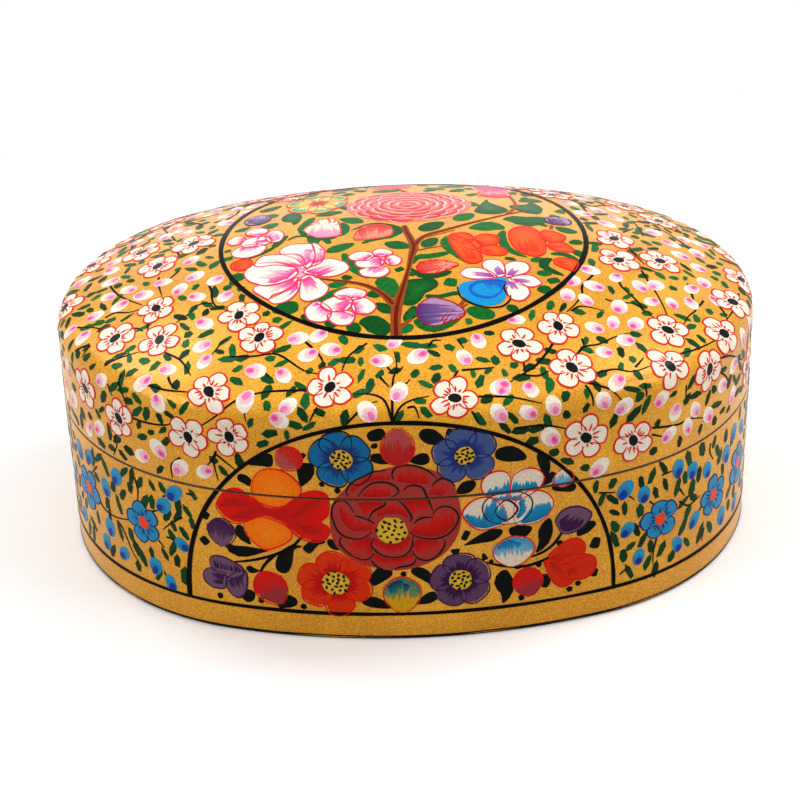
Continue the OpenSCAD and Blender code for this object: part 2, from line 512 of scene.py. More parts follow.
def through(values, share):
    """The point at a share of the way along a smooth curve through values."""
    last = len(values) - 1
    place = min(max(share, 0.0), 1.0) * last
    i = min(int(place), last - 1)
    f = place - i
    before, start, end, after = (np.asarray(values[min(max(k, 0), last)], float)
                                 for k in (i - 1, i, i + 1, i + 2))
    return (start + 0.5 * f * ((end - before) + f * (
        (2 * before - 5 * start + 4 * end - after) + f * (3 * (start - end) + after - before))))


class Coat:
    """Films of paint that share a chart and become one piece, or one each side of the seam."""

    def __init__(self, chart):
        self.chart = chart
        self.films = bmesh.new()
        self.tint = self.films.verts.layers.float_color.new("tint")

    def spot(self, u, v, turn=0.0, size=1.0):
        """Turns millimetres round a point of the face into the chart's numbers."""
        _, along, up, normal = slopes(self.chart, np.float64(u), np.float64(v))
        right = along / np.linalg.norm(along)
        upright = np.cross(normal, right)
        lengths = np.array([[along @ right, up @ right], [along @ upright, up @ upright]])
        c, s = math.cos(math.radians(turn)), math.sin(math.radians(turn))
        local = np.linalg.inv(lengths) @ np.array([[c, -s], [s, c]]) * size
        return Matrix(((local[0, 0], local[0, 1], 0, u), (local[1, 0], local[1, 1], 0, v),
                       (0, 0, 1, 0), (0, 0, 0, 1)))

    def fill(self, spot, rim, lift, edge, heart=None, at=(0, 0)):
        """Fills the outline rim, anticlockwise from its top. The tint runs from edge to
        heart at the point at."""
        count = len(rim)
        made = bmesh.ops.create_circle(self.films, cap_ends=True, cap_tris=True,
                                       segments=count, radius=1)
        for vert in made["verts"]:
            inner = vert.co.length < 0.5
            turn = math.atan2(-vert.co.x, vert.co.y) / (2 * math.pi)
            x, y = at if inner else rim[round(turn * count) % count]
            vert.co = spot @ Vector((x, y, 0))
            vert.co.z = lift
            vert[self.tint] = heart if inner and heart else edge

    def stroke(self, points, widths, lift, start, end=None, spot=None, steps=6,
               rounded=False):
        """One stroke of the brush through points, as wide on the way as widths says."""
        made = bmesh.ops.create_grid(self.films, x_segments=1, y_segments=steps, size=1)
        stretch = 1.0
        if spot is None:
            middle = through(points, 0.5)
            stretch = np.linalg.norm(slopes(self.chart, middle[0], middle[1])[1])
        for vert in made["verts"]:
            share = (vert.co.y + 1) / 2
            full = 1.0
            if rounded:
                share = 0.5 - 0.5 * math.cos(math.pi * share)
                full = max(1 - abs(2 * share - 1)**5, 0.0016)**0.5
            place = through(points, share)
            ahead = through(points, share + 0.02) - through(points, share - 0.02)
            ahead = np.array([ahead[0] * stretch, ahead[1]])
            ahead /= max(np.linalg.norm(ahead), 1e-9)
            half = full * through([[w] for w in widths], share)[0] / 2
            half *= 1 if vert.co.x > 0 else -1
            place = Vector((place[0] + ahead[1] * half / stretch, place[1] - ahead[0] * half, 0))
            vert.co = place if spot is None else spot @ place
            vert.co.z = lift
            vert[self.tint] = mixed(start, end, share) if end else start


# The chart's own millimetres, unturned
FLAT = Matrix.Identity(4)


def repeat_behind(coat):
    """Repeats a coat's films half way round the box."""
    everything = coat.films.verts[:] + coat.films.edges[:] + coat.films.faces[:]
    copied = bmesh.ops.duplicate(coat.films, geom=everything)["geom"]
    verts = [part for part in copied if isinstance(part, bmesh.types.BMVert)]
    bmesh.ops.translate(coat.films, vec=(ROUND / 2, 0, 0), verts=verts)


# Longest edge of a film, on the tight bend of the shoulder and elsewhere
SHORT_EDGE = 1.2
LONG_EDGE = 3.2
# How far a film ends short of the seam, on either side
SEAM_GAP = 0.38


def cut_at_seam(films, keep_above):
    """Cuts films off just short of the seam, and keeps what lies on one side of it."""
    height = SEAM + (SEAM_GAP if keep_above else -SEAM_GAP)
    bmesh.ops.bisect_plane(films, geom=films.verts[:] + films.edges[:] + films.faces[:],
                           plane_co=(0, height, 0), plane_no=(0, 1, 0),
                           clear_inner=keep_above, clear_outer=not keep_above)


def split_long_edges(films, on_wall):
    """Shortens edges until every film can follow the bend that it lies on."""
    bmesh.ops.triangulate(films, faces=films.faces[:])
    for _ in range(5):
        long = []
        for edge in films.edges:
            height = (edge.verts[0].co.y + edge.verts[1].co.y) / 2
            on_shoulder = on_wall and WALL_TOP - 1.5 < height < WALL_TOP + SHOULDER_RUN + 1
            if edge.calc_length() > (SHORT_EDGE if on_shoulder else LONG_EDGE):
                long.append(edge)
        if not long:
            return
        bmesh.ops.subdivide_edges(films, edges=long, cuts=1)
        bmesh.ops.triangulate(films, faces=[f for f in films.faces if len(f.verts) > 3])


def lay(coat, name, body, material, keep_above=None):
    """Lays a coat's films on the face as closed, thin, raised paint."""
    films = coat.films.copy()
    if keep_above is not None:
        cut_at_seam(films, keep_above)
    split_long_edges(films, coat.chart is outside)
    under = films.verts[:]
    bmesh.ops.extrude_face_region(films, geom=films.faces[:], use_keep_orig=True)
    for vert in under:
        vert.co.z = -SUNK
    bmesh.ops.recalc_face_normals(films, faces=films.faces[:])
    for face in films.faces:
        face.smooth = True
    piece = add_piece(films, name, body, [material])
    mesh = piece.data
    flat = np.empty(len(mesh.vertices) * 3)
    mesh.vertices.foreach_get("co", flat)
    flat = flat.reshape(-1, 3)
    point, _, _, normal = slopes(coat.chart, flat[:, 0], flat[:, 1])
    mesh.vertices.foreach_set("co", ((point + normal * flat[:, 2:]) * MM).ravel())
    mesh.update()
    # The top of a film takes the face's own normal, so the varnish gleams on unbroken
    face_normals = np.empty(len(mesh.polygons) * 3)
    mesh.polygons.foreach_get("normal", face_normals)
    sizes = np.empty(len(mesh.polygons), int)
    mesh.polygons.foreach_get("loop_total", sizes)
    loop_face = np.repeat(face_normals.reshape(-1, 3), sizes, axis=0)
    vertex = np.empty(len(mesh.loops), int)
    mesh.loops.foreach_get("vertex_index", vertex)
    loop_normal = normal[vertex]
    on_top = (loop_face * loop_normal).sum(1) > 0.6
    mesh.normals_split_custom_set(np.where(on_top[:, None], loop_normal, loop_face).tolist())


def lay_both(coat, name, material):
    """Lays a coat that runs across the seam, with one piece on the base, one on the lid."""
    lay(coat, "base_" + name, "base", material, keep_above=False)
    lay(coat, "lid_" + name, "lid", material, keep_above=True)


# Shapes that the brush makes, each with a little of the hand's unevenness

hand = random.Random(20)


def wobble(amount):
    """A factor near one."""
    return 1 + hand.uniform(-amount, amount)


def about(height):
    """A height of paint, a little off, so that films that cross don't share a face."""
    return height + hand.uniform(-0.008, 0.008)


def petal_rim(length, width, count=12, narrow=0.4, uneven=0.05):
    """Outline of a petal that grows from the origin along y."""
    rim = []
    for i in range(count):
        turn = 2 * math.pi * i / count
        y = length * (0.5 + 0.5 * math.cos(turn)) * wobble(uneven)
        full = narrow + (1 - narrow) * max(y / length, 0.0)**0.7
        rim.append((-width * 0.62 * math.sin(turn) * full * wobble(uneven), y))
    return rim


def oval_rim(length, width, count=12, uneven=0.06, point=0.0):
    """Outline of a blot centred on the origin, drawn out to a point along y."""
    rim = []
    for i in range(count):
        turn = 2 * math.pi * i / count
        narrow = 1 - point * max(math.cos(turn), 0)**2
        rim.append((-width / 2 * math.sin(turn) * narrow * wobble(uneven),
                    length / 2 * math.cos(turn) * wobble(uneven)))
    return rim


def along_rim(rim, start, end, count=9):
    """Points on a petal's outline between two shares of the way round."""
    places = [start + (end - start) * i / (count - 1) for i in range(count)]
    closed = rim + rim[:1]
    return [through(closed, place % 1.0) for place in places]


def turned(spot, turn, shift=(0, 0)):
    """A spot turned and shifted within its own millimetres."""
    return (spot @ Matrix.Translation((shift[0], shift[1], 0))
            @ Matrix.Rotation(math.radians(turn), 4, "Z"))


def blossom(paint, u, v, turn, size, fill_tints, line_tint, eye_tint, eye=(3.7, 2.8),
            line_mm=0.5):
    """Five-petalled blossom of the gold ground: outlined petals, bold short streaks that
    stay clear of the heart, and an oval eye."""
    spot = paint.spot(u, v, turn, size)
    for i in range(5):
        petal = turned(spot, 72 * i + hand.uniform(-6, 6))
        length = 6.1 * wobble(0.09)
        rim = petal_rim(length, 4.95 * wobble(0.10), 13, 0.38, 0.035)
        paint.fill(petal, rim, about(PETAL), fill_tints[0], fill_tints[1], (0, length * 0.3))
        slip = (hand.uniform(-0.2, 0.2), hand.uniform(-0.05, 0.2))
        line = [(x + slip[0], y + slip[1]) for x, y in along_rim(rim, -0.33, 0.33, 9)]
        pen(paint, line, line_mm, line_tint, spot=petal)
        for side in hand.choice([(-0.9, 0.8), (-1.1, 0.0, 1.1), (0.2,), (-0.7, 0.9)]):
            reach = length * hand.uniform(0.46, 0.66)
            paint.stroke([(side * 0.5, 1.9), (side * 0.8, (1.9 + reach) / 2),
                          (side * wobble(0.2), reach)],
                         [line_mm, line_mm * 1.2, 0.16], SHADE + 0.01, line_tint,
                         spot=petal, steps=3)
    paint.fill(turned(spot, hand.uniform(-40, 40)), oval_rim(eye[0], eye[1], 10, 0.08), EYE,
               eye_tint)


def bud(paint, u, v, turn, size, body_tints, dot_tints, dot=(2.3, 1.8)):
    """A bud: a round white blot, softly tinted towards the twig, with a drop there."""
    spot = paint.spot(u, v, turn, size)
    paint.fill(spot, oval_rim(5.6 * wobble(0.10), 4.3 * wobble(0.10), 12, 0.04), PETAL,
               body_tints[0])
    paint.fill(turned(spot, 0, (0, -0.95)), oval_rim(3.8, 3.8 * wobble(0.06), 11, 0.05),
               SHADE - 0.008, mixed(body_tints[0], body_tints[1], 0.45), body_tints[1],
               (0, -0.8))
    paint.fill(turned(spot, hand.uniform(-25, 25), (hand.uniform(-0.3, 0.3), -1.5)),
               oval_rim(dot[0] * wobble(0.15), dot[1] * wobble(0.15), 9, 0.07), SHADE + 0.008,
               dot_tints[0], dot_tints[1])


def leaf(paint, u, v, turn, length, width, leaf_tint):
    """A leaf or dab put down with one press of the brush, cornered where it lifted."""
    spot = paint.spot(u, v, turn)
    paint.fill(spot, oval_rim(length, width, hand.choice([5, 6, 7]), 0.2, 0.25),
               LEAF + hand.uniform(0, 0.015), leaf_tint)


def ring_through(points, count):
    """Outline of count points on a smooth closed curve through a few."""
    around = points[-1:] + points + points[:2]
    return [through(around, (1 + len(points) * i / count) / (len(points) + 2))
            for i in range(count)]


def middle_of(points):
    """The mean of a few points."""
    return np.mean(np.asarray(points, float), axis=0)


def blot(coat, points, lift, edge, heart=None, at=None):
    """Fills a smooth closed curve through a few points."""
    coat.fill(FLAT, ring_through(points, 4 * len(points)), lift, edge, heart,
              at or tuple(middle_of(points)))


def pen(coat, points, width, ink, lift=LINE, spot=None):
    """A drawn line: fine where the brush lands and lifts, uneven on the way."""
    coat.stroke(points, [width * 0.5, width, width * wobble(0.3), width, width * 0.45],
                lift, ink, spot=spot, steps=3 * len(points))


def pen_round(coat, points, width, ink, slip):
    """Draws a closed outline a little off the paint that it goes round."""
    shift = (hand.uniform(-slip, slip), hand.uniform(-slip, slip))
    line = [(x + shift[0], y + shift[1]) for x, y in ring_through(points, 3 * len(points))]
    pen(coat, line + line[:1], width, ink)


def comb(coat, base, tips, count, width, start, end=None, reach=(0.6, 1.0), spot=None,
         lift=SHADE):
    """Streaks brushed side by side, from the curve base towards the curve tips."""
    for i in range(count):
        share = (i + 0.5 + hand.uniform(-0.25, 0.25)) / count
        foot = through(base, share)
        tip = foot + (through(tips, share) - foot) * hand.uniform(*reach)
        coat.stroke([foot, (foot + tip) / 2, tip], [width, width * 0.85, 0.1],
                    lift + hand.uniform(-0.006, 0.006), start, end, spot=spot, steps=4)


def press(coat, points, widths, leaf_tint):
    """A leaf put down by pressing the brush and lifting it, with round ends."""
    coat.stroke(points, widths, about(LEAF), leaf_tint, steps=10, rounded=True)


def stippled_eye(coat, spot, radius, dots):
    """A yellow eye full of black dots, some of which break its edge."""
    coat.fill(spot, oval_rim(radius * 2, radius * 2, 14, 0.07), EYE, tint("yolk"),
              tint("yolk_light"))
    for i in range(dots):
        turn, way = 2.4 * i, radius * 0.95 * math.sqrt((i + 0.4) / dots)
        place = (way * math.cos(turn) * wobble(0.1), way * math.sin(turn) * wobble(0.1))
        coat.fill(turned(spot, hand.uniform(0, 180), place),
                  oval_rim(1.25 * wobble(0.25), 0.8 * wobble(0.2), 7, 0.12), DOT, tint("black"))


def anemone(coat, u, v, ways, reach, tints, ink, eye_radius, line_mm=0.35, dots=16):
    """A large open flower, a petal each way: streaks run out from the eye, thin lines."""
    spot = coat.spot(u, v)
    fill_tint, heart_tint, streak_tint, streak_end = (tint(name) for name in tints)
    for way in ways:
        petal = turned(spot, way)
        length = reach * wobble(0.05)
        width = 2 * math.pi * reach / len(ways) * 0.80 * wobble(0.06)
        rim = petal_rim(length, width, 14, 0.45, 0.03)
        coat.fill(petal, rim, about(PETAL), fill_tint, heart_tint, (0, length * 0.3))
        half = width * 0.36
        comb(coat, [(-half * 0.45, eye_radius * 0.8), (half * 0.45, eye_radius * 0.8)],
             [(-half, length * 0.62), (0, length * 0.84), (half, length * 0.62)], 10,
             0.85, streak_tint, streak_end, (0.45, 0.98), petal)
        slip = (hand.uniform(-0.5, 0.5), hand.uniform(0.0, 0.5))
        line = [(x + slip[0], y + slip[1]) for x, y in along_rim(rim, -0.34, 0.34, 9)]
        pen(coat, line, line_mm, tint(ink), spot=petal)
    stippled_eye(coat, spot, eye_radius, dots)


def shaded_bud(coat, u, v, turn, length, width, low, high, deep, ink):
    """A bud, its foot darker, with a ragged edge between the two tones. turn is where
    the tip points, from straight up."""
    spot = coat.spot(u, v, turn)
    rim = oval_rim(length, width, 16, 0.02, 0.42)
    coat.fill(spot, rim, PETAL, tint(low))
    foot = [(-0.48 * width, -0.06 * length), (-0.39 * width, -0.31 * length),
            (0, -0.49 * length), (0.39 * width, -0.31 * length),
            (0.48 * width, -0.06 * length)]
    tips = [(x * 0.86, (0.1 + 0.12 * math.cos(4 * x / width)) * length) for x, _ in foot]
    comb(coat, foot, tips, 15, width * 0.17, tint(high),
         blend(high, low, 0.35), (0.75, 1.1), spot)
    if deep:
        comb(coat, [(x * 0.7 + 0.1 * width, y * 0.85) for x, y in foot[1:4]],
             [(-0.1 * width, 0.02 * length), (0.3 * width, 0.05 * length)], 7,
             width * 0.12, tint(deep), tint(high), (0.5, 0.9), spot, SHADE + 0.012)
    slip = (hand.uniform(-0.35, 0.35), hand.uniform(-0.1, 0.3))
    line = [(x * 1.06 + slip[0], y * 1.04 + slip[1]) for x, y in along_rim(rim, 0.04, 0.96, 13)]
    pen(coat, line, 0.35, tint(ink), spot=spot)


# Where things grow on the gold ground. Places are s and h in millimetres.

LID_BLOSSOMS = [
    (-136, 72), (-106, 94), (-88, 86), (-102, 80), (-73, 102), (-56, 94), (-57, 74),
    (-62, 60), (-50, 62), (-86, 59), (-102, 62), (-24, 78), (11, 74), (37, 89), (55, 94),
    (47, 79), (86, 82), (74, 72), (100, 72), (88, 66), (116, 54), (46, 58), (60, 54),
    (-140, 100), (-156, 109), (-160, 92), (-163, 75), (142, 110), (119, 108), (129, 97),
    (175, 86), (154, 71), (136, 73)]

LID_BUDS = [
    (-170, 78), (-172, 102), (-175, 84), (-150, 85), (-136, 110), (-118, 109), (-107, 112),
    (-112, 103), (-119, 94), (-140, 86), (-128, 91), (-150, 76), (-129, 85), (-100, 104),
    (-90, 108), (-119, 87), (-120, 80), (-120, 72), (-112, 74), (-81, 96), (-72, 88),
    (-66, 83), (-74, 78), (-78, 72), (-71, 68), (-93, 68), (-112, 54), (-96, 52),
    (-102, 49), (-72, 54), (-78, 50), (-58, 50), (-42, 94), (-35, 95), (-35, 88), (-28, 90),
    (-48, 82), (-39, 81), (-6, 92), (-10, 86), (2, 87), (24, 91), (17, 86), (24, 76),
    (22, 69), (-34, 72), (-36, 68), (160, 109), (158, 95), (157, 86), (149, 92), (156, 81),
    (146, 85), (133, 86), (123, 84), (101, 112), (89, 106), (86, 111), (74, 106), (77, 102),
    (103, 98), (108, 95), (96, 92), (101, 88), (114, 79), (118, 67), (43, 98), (66, 91),
    (74, 91), (80, 88), (70, 84), (60, 82), (25, 76), (32, 74), (37, 69), (30, 68),
    (56, 72), (51, 68), (57, 65), (69, 64), (74, 58), (82, 56), (88, 52), (102, 52),
    (95, 58), (102, 61), (79, 52), (72, 52), (36, 60), (50, 48)]

LID_TWIGS = [
    [(-129, 100), (-121, 99), (-113, 98)], [(-137, 86), (-127, 88), (-120, 90), (-113, 92)],
    [(-116, 82), (-116, 85), (-112, 88), (-110, 92)], [(-102, 85), (-100, 86), (-97, 86)],
    [(-120, 74), (-118, 75), (-114, 78), (-108, 80)], [(-100, 89), (-96, 87)],
    [(-129, 106), (-126, 104), (-122, 101)], [(-107, 110), (-99, 108), (-89, 104), (-80, 103)],
    [(-90, 104), (-94, 102), (-92, 98), (-91, 93)], [(-84, 83), (-74, 82), (-66, 78)],
    [(-110, 70), (-106, 74), (-105, 70)], [(-94, 72), (-92, 76), (-89, 80)],
    [(-72, 76), (-69, 74), (-66, 73)], [(-78, 72), (-70, 72), (-62, 73)],
    [(-86, 72), (-86, 70), (-83, 66), (-82, 62)], [(-90, 68), (-88, 65)],
    [(-81, 61), (-76, 61), (-69, 62), (-66, 64)],
    [(-30, 77), (-40, 76), (-46, 74), (-50, 71), (-53, 68), (-58, 64), (-61, 62)],
    [(-86, 54), (-89, 52), (-88, 50), (-90, 46)], [(-65, 53), (-68, 50), (-68, 46)],
    [(-54, 57), (-55, 54), (-54, 48)], [(-54, 56), (-57, 52)], [(-54, 56), (-49, 52)],
    [(-46, 74), (-46, 71), (-45, 67)], [(-66, 92), (-67, 91), (-66, 86)],
    [(-39, 93), (-34, 90), (-30, 87), (-26, 82)], [(-16, 92), (-21, 88), (-22, 83)],
    [(-60, 86), (-52, 87), (-45, 88), (-34, 83), (-29, 82)],
    [(-34, 76), (-32, 77), (-30, 77)], [(-46, 82), (-42, 80)],
    [(-26, 72), (-27, 70), (-28, 68)], [(-6, 68), (-6, 74), (-6, 80), (-5, 84), (-6, 89)],
    [(-6, 68), (-8, 74), (-12, 76), (-17, 76)], [(-6, 68), (-4, 72), (-1, 74), (4, 75)],
    [(-4, 77), (-1, 80)], [(-10, 81), (-9, 80), (-7, 78)], [(-8, 84), (-6, 82)],
    [(-5, 82), (-3, 84)], [(-18, 68), (-15, 71), (-13, 73), (-10, 74)],
    [(-2, 72), (0, 72), (1, 69)], [(6, 90), (8, 92), (11, 92)], [(17, 92), (18, 89)],
    [(15, 82), (20, 82), (25, 82)], [(15, 70), (17, 66)], [(16, 74), (25, 73), (34, 70)],
    [(12, 80), (14, 82)], [(135, 106), (128, 104), (122, 101)],
    [(116, 101), (110, 98), (104, 94), (93, 86)],
    [(102, 104), (97, 101), (92, 94), (90, 92), (88, 87)],
    [(84, 100), (85, 98), (90, 94), (88, 90)], [(98, 110), (86, 108), (78, 104), (64, 99)],
    [(66, 99), (72, 100), (77, 96)], [(118, 88), (108, 84), (104, 82), (98, 82), (93, 81)],
    [(111, 82), (107, 82), (104, 82)], [(125, 74), (114, 74), (106, 74)],
    [(112, 78), (110, 76), (107, 74)],
    [(48, 88), (42, 84), (37, 81), (32, 79), (27, 77)], [(35, 84), (33, 79)],
    [(32, 79), (36, 78), (40, 79)], [(50, 82), (56, 85), (61, 85), (68, 86), (74, 86)],
    [(58, 88), (56, 85)], [(52, 76), (58, 76), (62, 74), (68, 74)], [(64, 75), (69, 77)],
    [(47, 74), (51, 72), (54, 70), (57, 66)], [(47, 73), (48, 70), (48, 67)],
    [(26, 64), (32, 64), (37, 63), (42, 61)], [(34, 64), (34, 61)],
    [(66, 56), (75, 54), (80, 54), (88, 51)], [(66, 54), (70, 52)],
    [(80, 74), (86, 73), (96, 72)], [(94, 67), (100, 65), (110, 59)],
    [(92, 64), (97, 60), (100, 56)], [(64, 70), (64, 66)], [(78, 65), (78, 61)]]

BASE_FLOWERS = [(-80, 28), (-107, 28), (70, 26), (93, 24), (110, 26)]

BASE_BUDS = [
    (-90, 39), (-96, 33), (-68, 41), (-72, 36), (-96, 20), (-90, 14), (-67, 25), (-77, 15),
    (-72, 11), (-112, 38), (-115, 15), (58, 39), (64, 36), (59, 26), (63, 16), (76, 40),
    (82, 37), (89, 34), (100, 34), (84, 20), (77, 15), (99, 14), (110, 13), (-123, 24),
    (-130, 36), (120, 36), (124, 18)]

BASE_LEAVES = [
    (-95, 40), (-106, 38), (-102, 40), (-83, 42), (-80, 41), (-92, 35), (-84, 38), (-72, 42),
    (-76, 36), (-79, 35), (-96, 28), (-90, 30), (-67, 38), (-71, 33), (-63, 33), (-66, 29),
    (-86, 22), (-103, 20), (-91, 21), (-96, 12), (-84, 18), (-82, 16), (-78, 19), (-73, 20),
    (-69, 19), (-84, 12), (-76, 12), (-67, 15), (-70, 27), (-70, 23), (-108, 12), (-112, 20),
    (54, 42), (63, 40), (51, 38), (58, 33), (68, 35), (63, 31), (76, 34), (82, 31), (81, 24),
    (55, 28), (62, 25), (55, 24), (64, 21), (67, 18), (71, 16), (58, 18), (66, 13), (75, 12),
    (81, 14), (79, 20), (60, 12), (69, 10), (86, 42), (94, 38), (80, 42), (79, 36), (85, 34),
    (98, 30), (92, 14), (87, 14), (104, 37), (104, 15)]

BASE_TWIGS = [
    [(-101, 27), (-98, 25), (-92, 25), (-85, 27)],
    [(-92, 24), (-90, 23), (-88, 20), (-86, 16), (-84, 14)],
    [(-82, 42), (-81, 38), (-82, 33)], [(-66, 34), (-70, 31), (-73, 28)],
    [(-100, 38), (-102, 36), (-104, 34)], [(-76, 33), (-74, 34)], [(-75, 24), (-73, 22)],
    [(-72, 26), (-69, 26)], [(-74, 14), (-73, 12)], [(-64, 42), (-62, 42)],
    [(-72, 39), (-70, 40)], [(66, 33), (68, 31)], [(77, 29), (81, 26), (86, 27)],
    [(69, 20), (68, 16), (68, 12)], [(57, 12), (60, 14)], [(62, 26), (65, 26)],
    [(90, 42), (90, 39), (92, 36)], [(89, 15), (88, 11)], [(50, 40), (55, 39)],
    [(58, 38), (61, 35)], [(77, 33), (79, 30)], [(70, 40), (74, 40)], [(86, 22), (88, 24)],
    [(84, 36), (86, 36)]]


def around_back(places):
    """The same places on the far side of the box, half way round."""
    return [(u + ROUND / 2, v) for u, v in places]


def in_arch(s, h, margin=0.0):
    """Whether a place lies inside the arched picture on the front or the back."""
    way = (s - ARCH_MIDDLE + ROUND / 4) % (ROUND / 2) - ROUND / 4
    across = abs(way) / (ARCH_HALF_WIDTH + margin)
    up = max(h - RULE_HEIGHT, 0) / (ARCH_TOP - RULE_HEIGHT + margin)
    return across**ARCH_POWER + up**ARCH_POWER < 1


class Room:
    """Keeps the places that are taken, to grow new things clear of them."""

    def __init__(self):
        self.points = np.zeros((0, 3))
        self.sizes = np.zeros(0)

    def free(self, point, size):
        """Whether a round of that radius fits in at the point."""
        if not len(self.points):
            return True
        return bool((np.linalg.norm(self.points - point, axis=1) > self.sizes + size).all())

    def take(self, point, size):
        """Keeps a round of that radius for something at the point."""
        self.points = np.vstack([self.points, point])
        self.sizes = np.append(self.sizes, size)


room = Room()
# Radius of the room that things take
BLOSSOM_ROOM = 6.0
BASE_FLOWER_ROOM = 6.5
BUD_ROOM = 2.6
LEAF_ROOM = 1.2
# How far things stay clear of the ruled lines
RING_MARGIN = 2.2
LID_ARCH_MARGIN = 1.6
BASE_ARCH_MARGIN = 2.4


def settle(places, size, others=()):
    """The given places, and those of others that still find room."""
    for u, v in places:
        room.take(outside(u, v), size)
    kept = list(places)
    for u, v in others:
        point = outside(u, v)
        if room.free(point, size * 0.9):
            room.take(point, size)
            kept.append((u, v))
    return kept


def scattered(tries, low, high, size, allowed):
    """Seeded random places between two heights that find room, evenly over the face."""
    u = np.array([hand.uniform(0, ROUND) for _ in range(tries)])
    v = np.array([hand.uniform(low, high) for _ in range(tries)])
    points, along, _, _ = slopes(outside, u, v)
    share = np.linalg.norm(along, axis=1)
    found = []
    for i in range(tries):
        if hand.random() > share[i] or not allowed(u[i], v[i]):
            continue
        if room.free(points[i], size):
            room.take(points[i], size)
            found.append((u[i], v[i]))
    return found


def on_lid_ground(u, v):
    """Whether a place on the lid lies outside both kinds of picture."""
    x, y, _ = outside(u, v)
    return (math.hypot(x, y) > RING_RADIUS + RING_MARGIN
            and not in_arch(u, v, LID_ARCH_MARGIN))


def on_base_ground(u, v):
    """Whether a place on the base lies outside the arched pictures."""
    return not in_arch(u, v, BASE_ARCH_MARGIN)


def paint_ground():
    """Blossoms, buds, leaves and twigs over the lid and the sides of the base."""
    white = (tint("white"), tint("cream"))
    blossoms, buds = Coat(outside), Coat(outside)
    pale = (tint("white"), blend("blush", "pink", 0.35))
    for u, v in settle(LID_BLOSSOMS, BLOSSOM_ROOM, around_back(LID_BLOSSOMS)):
        blossom(blossoms, u, v, hand.uniform(0, 72), wobble(0.06), white, tint("outline"),
                tint("black"))
    lid_buds = settle(LID_BUDS, BUD_ROOM, around_back(LID_BUDS))
    lid_buds += scattered(tries=1500, low=49, high=114, size=4.1, allowed=on_lid_ground)
    for u, v in lid_buds:
        bud(buds, u, v, hand.uniform(0, 360), wobble(0.1), pale,
            (tint("pink"), tint(hand.choice(["magenta", "pink", "magenta"]))))
    lay(blossoms, "lid_blossoms", "lid", FLOWER_PAINT)
    lay(buds, "lid_buds", "lid", FLOWER_PAINT)

    sides = Coat(outside)
    sky = (tint("sky"), tint("sky_deep"))
    for u, v in settle(BASE_FLOWERS, BASE_FLOWER_ROOM, around_back(BASE_FLOWERS)):
        blossom(sides, u, v, hand.uniform(0, 72), 1.05 * wobble(0.04), sky, tint("navy"),
                tint("orange_eye"), (3.9, 3.4), 0.36)
    base_buds = settle(BASE_BUDS, BUD_ROOM, around_back(BASE_BUDS))
    base_buds += scattered(tries=300, low=13, high=41, size=4.0, allowed=on_base_ground)
    for u, v in base_buds:
        bud(sides, u, v, hand.uniform(-50, 50), wobble(0.1), sky,
            (tint("#1A3CA0"), tint("#1C2C84")), dot=(2.8, 2.3))
    lay(sides, "base_flowers", "base", FLOWER_PAINT)

    twigs = Coat(outside)
    for path in LID_TWIGS + BASE_TWIGS:
        for start in (0.0, ROUND / 2):
            points = [(u + start, v) for u, v in path]
            wide = 0.55 if len(path) > 2 else 0.5
            twigs.stroke(points, [wide * 1.2, wide, wide * 0.5], BRANCH, tint("twig"),
                         steps=4 * len(path))
    lay_both(twigs, "twigs", LINE_PAINT)

    leaves = Coat(outside)
    for u, v in settle(BASE_LEAVES, LEAF_ROOM, around_back(BASE_LEAVES)):
        leaf(leaves, u, v, hand.uniform(-35, 35), 5.6 * wobble(0.25), 2.5 * wobble(0.2),
             blend("leaf", "leaf_pale_and_lit", hand.random() * 0.4))
    for u, v in scattered(tries=6000, low=11.5, high=42.5, size=1.9, allowed=on_base_ground):
        leaf(leaves, u, v, hand.uniform(-60, 60), 5.0 * wobble(0.25), 2.2 * wobble(0.2),
             blend("leaf", "leaf_pale_and_lit", hand.random() * 0.4))
    # Higher up the lid the leaves take more of the paler green. This is painted light from above,
    # laid over their random tones.
    for u, v in scattered(tries=26000, low=47.5, high=116, size=1.6, allowed=on_lid_ground):
        leaf(leaves, u, v, hand.uniform(0, 180), 4.3 * wobble(0.35), 2.2 * wobble(0.25),
             blend("leaf", "leaf_pale_and_lit", hand.random() * min(max((v - 52) / 25, 0.25), 1)))
    lay_both(leaves, "leaves", LEAF_PAINT)


# The arched picture on the front, which the back repeats. Places are s and h.

ROSE_BASE = [(-23.7, 38), (-22.6, 31), (-18, 26), (-12, 23.6), (-6, 22.6), (1, 24), (7, 27.5),
             (10.6, 33), (11.6, 39), (10.8, 45), (8.6, 50.8), (3, 54), (-3, 55.2), (-9, 54.4),
             (-15, 51.8), (-19.8, 47.6), (-22.8, 43.4)]

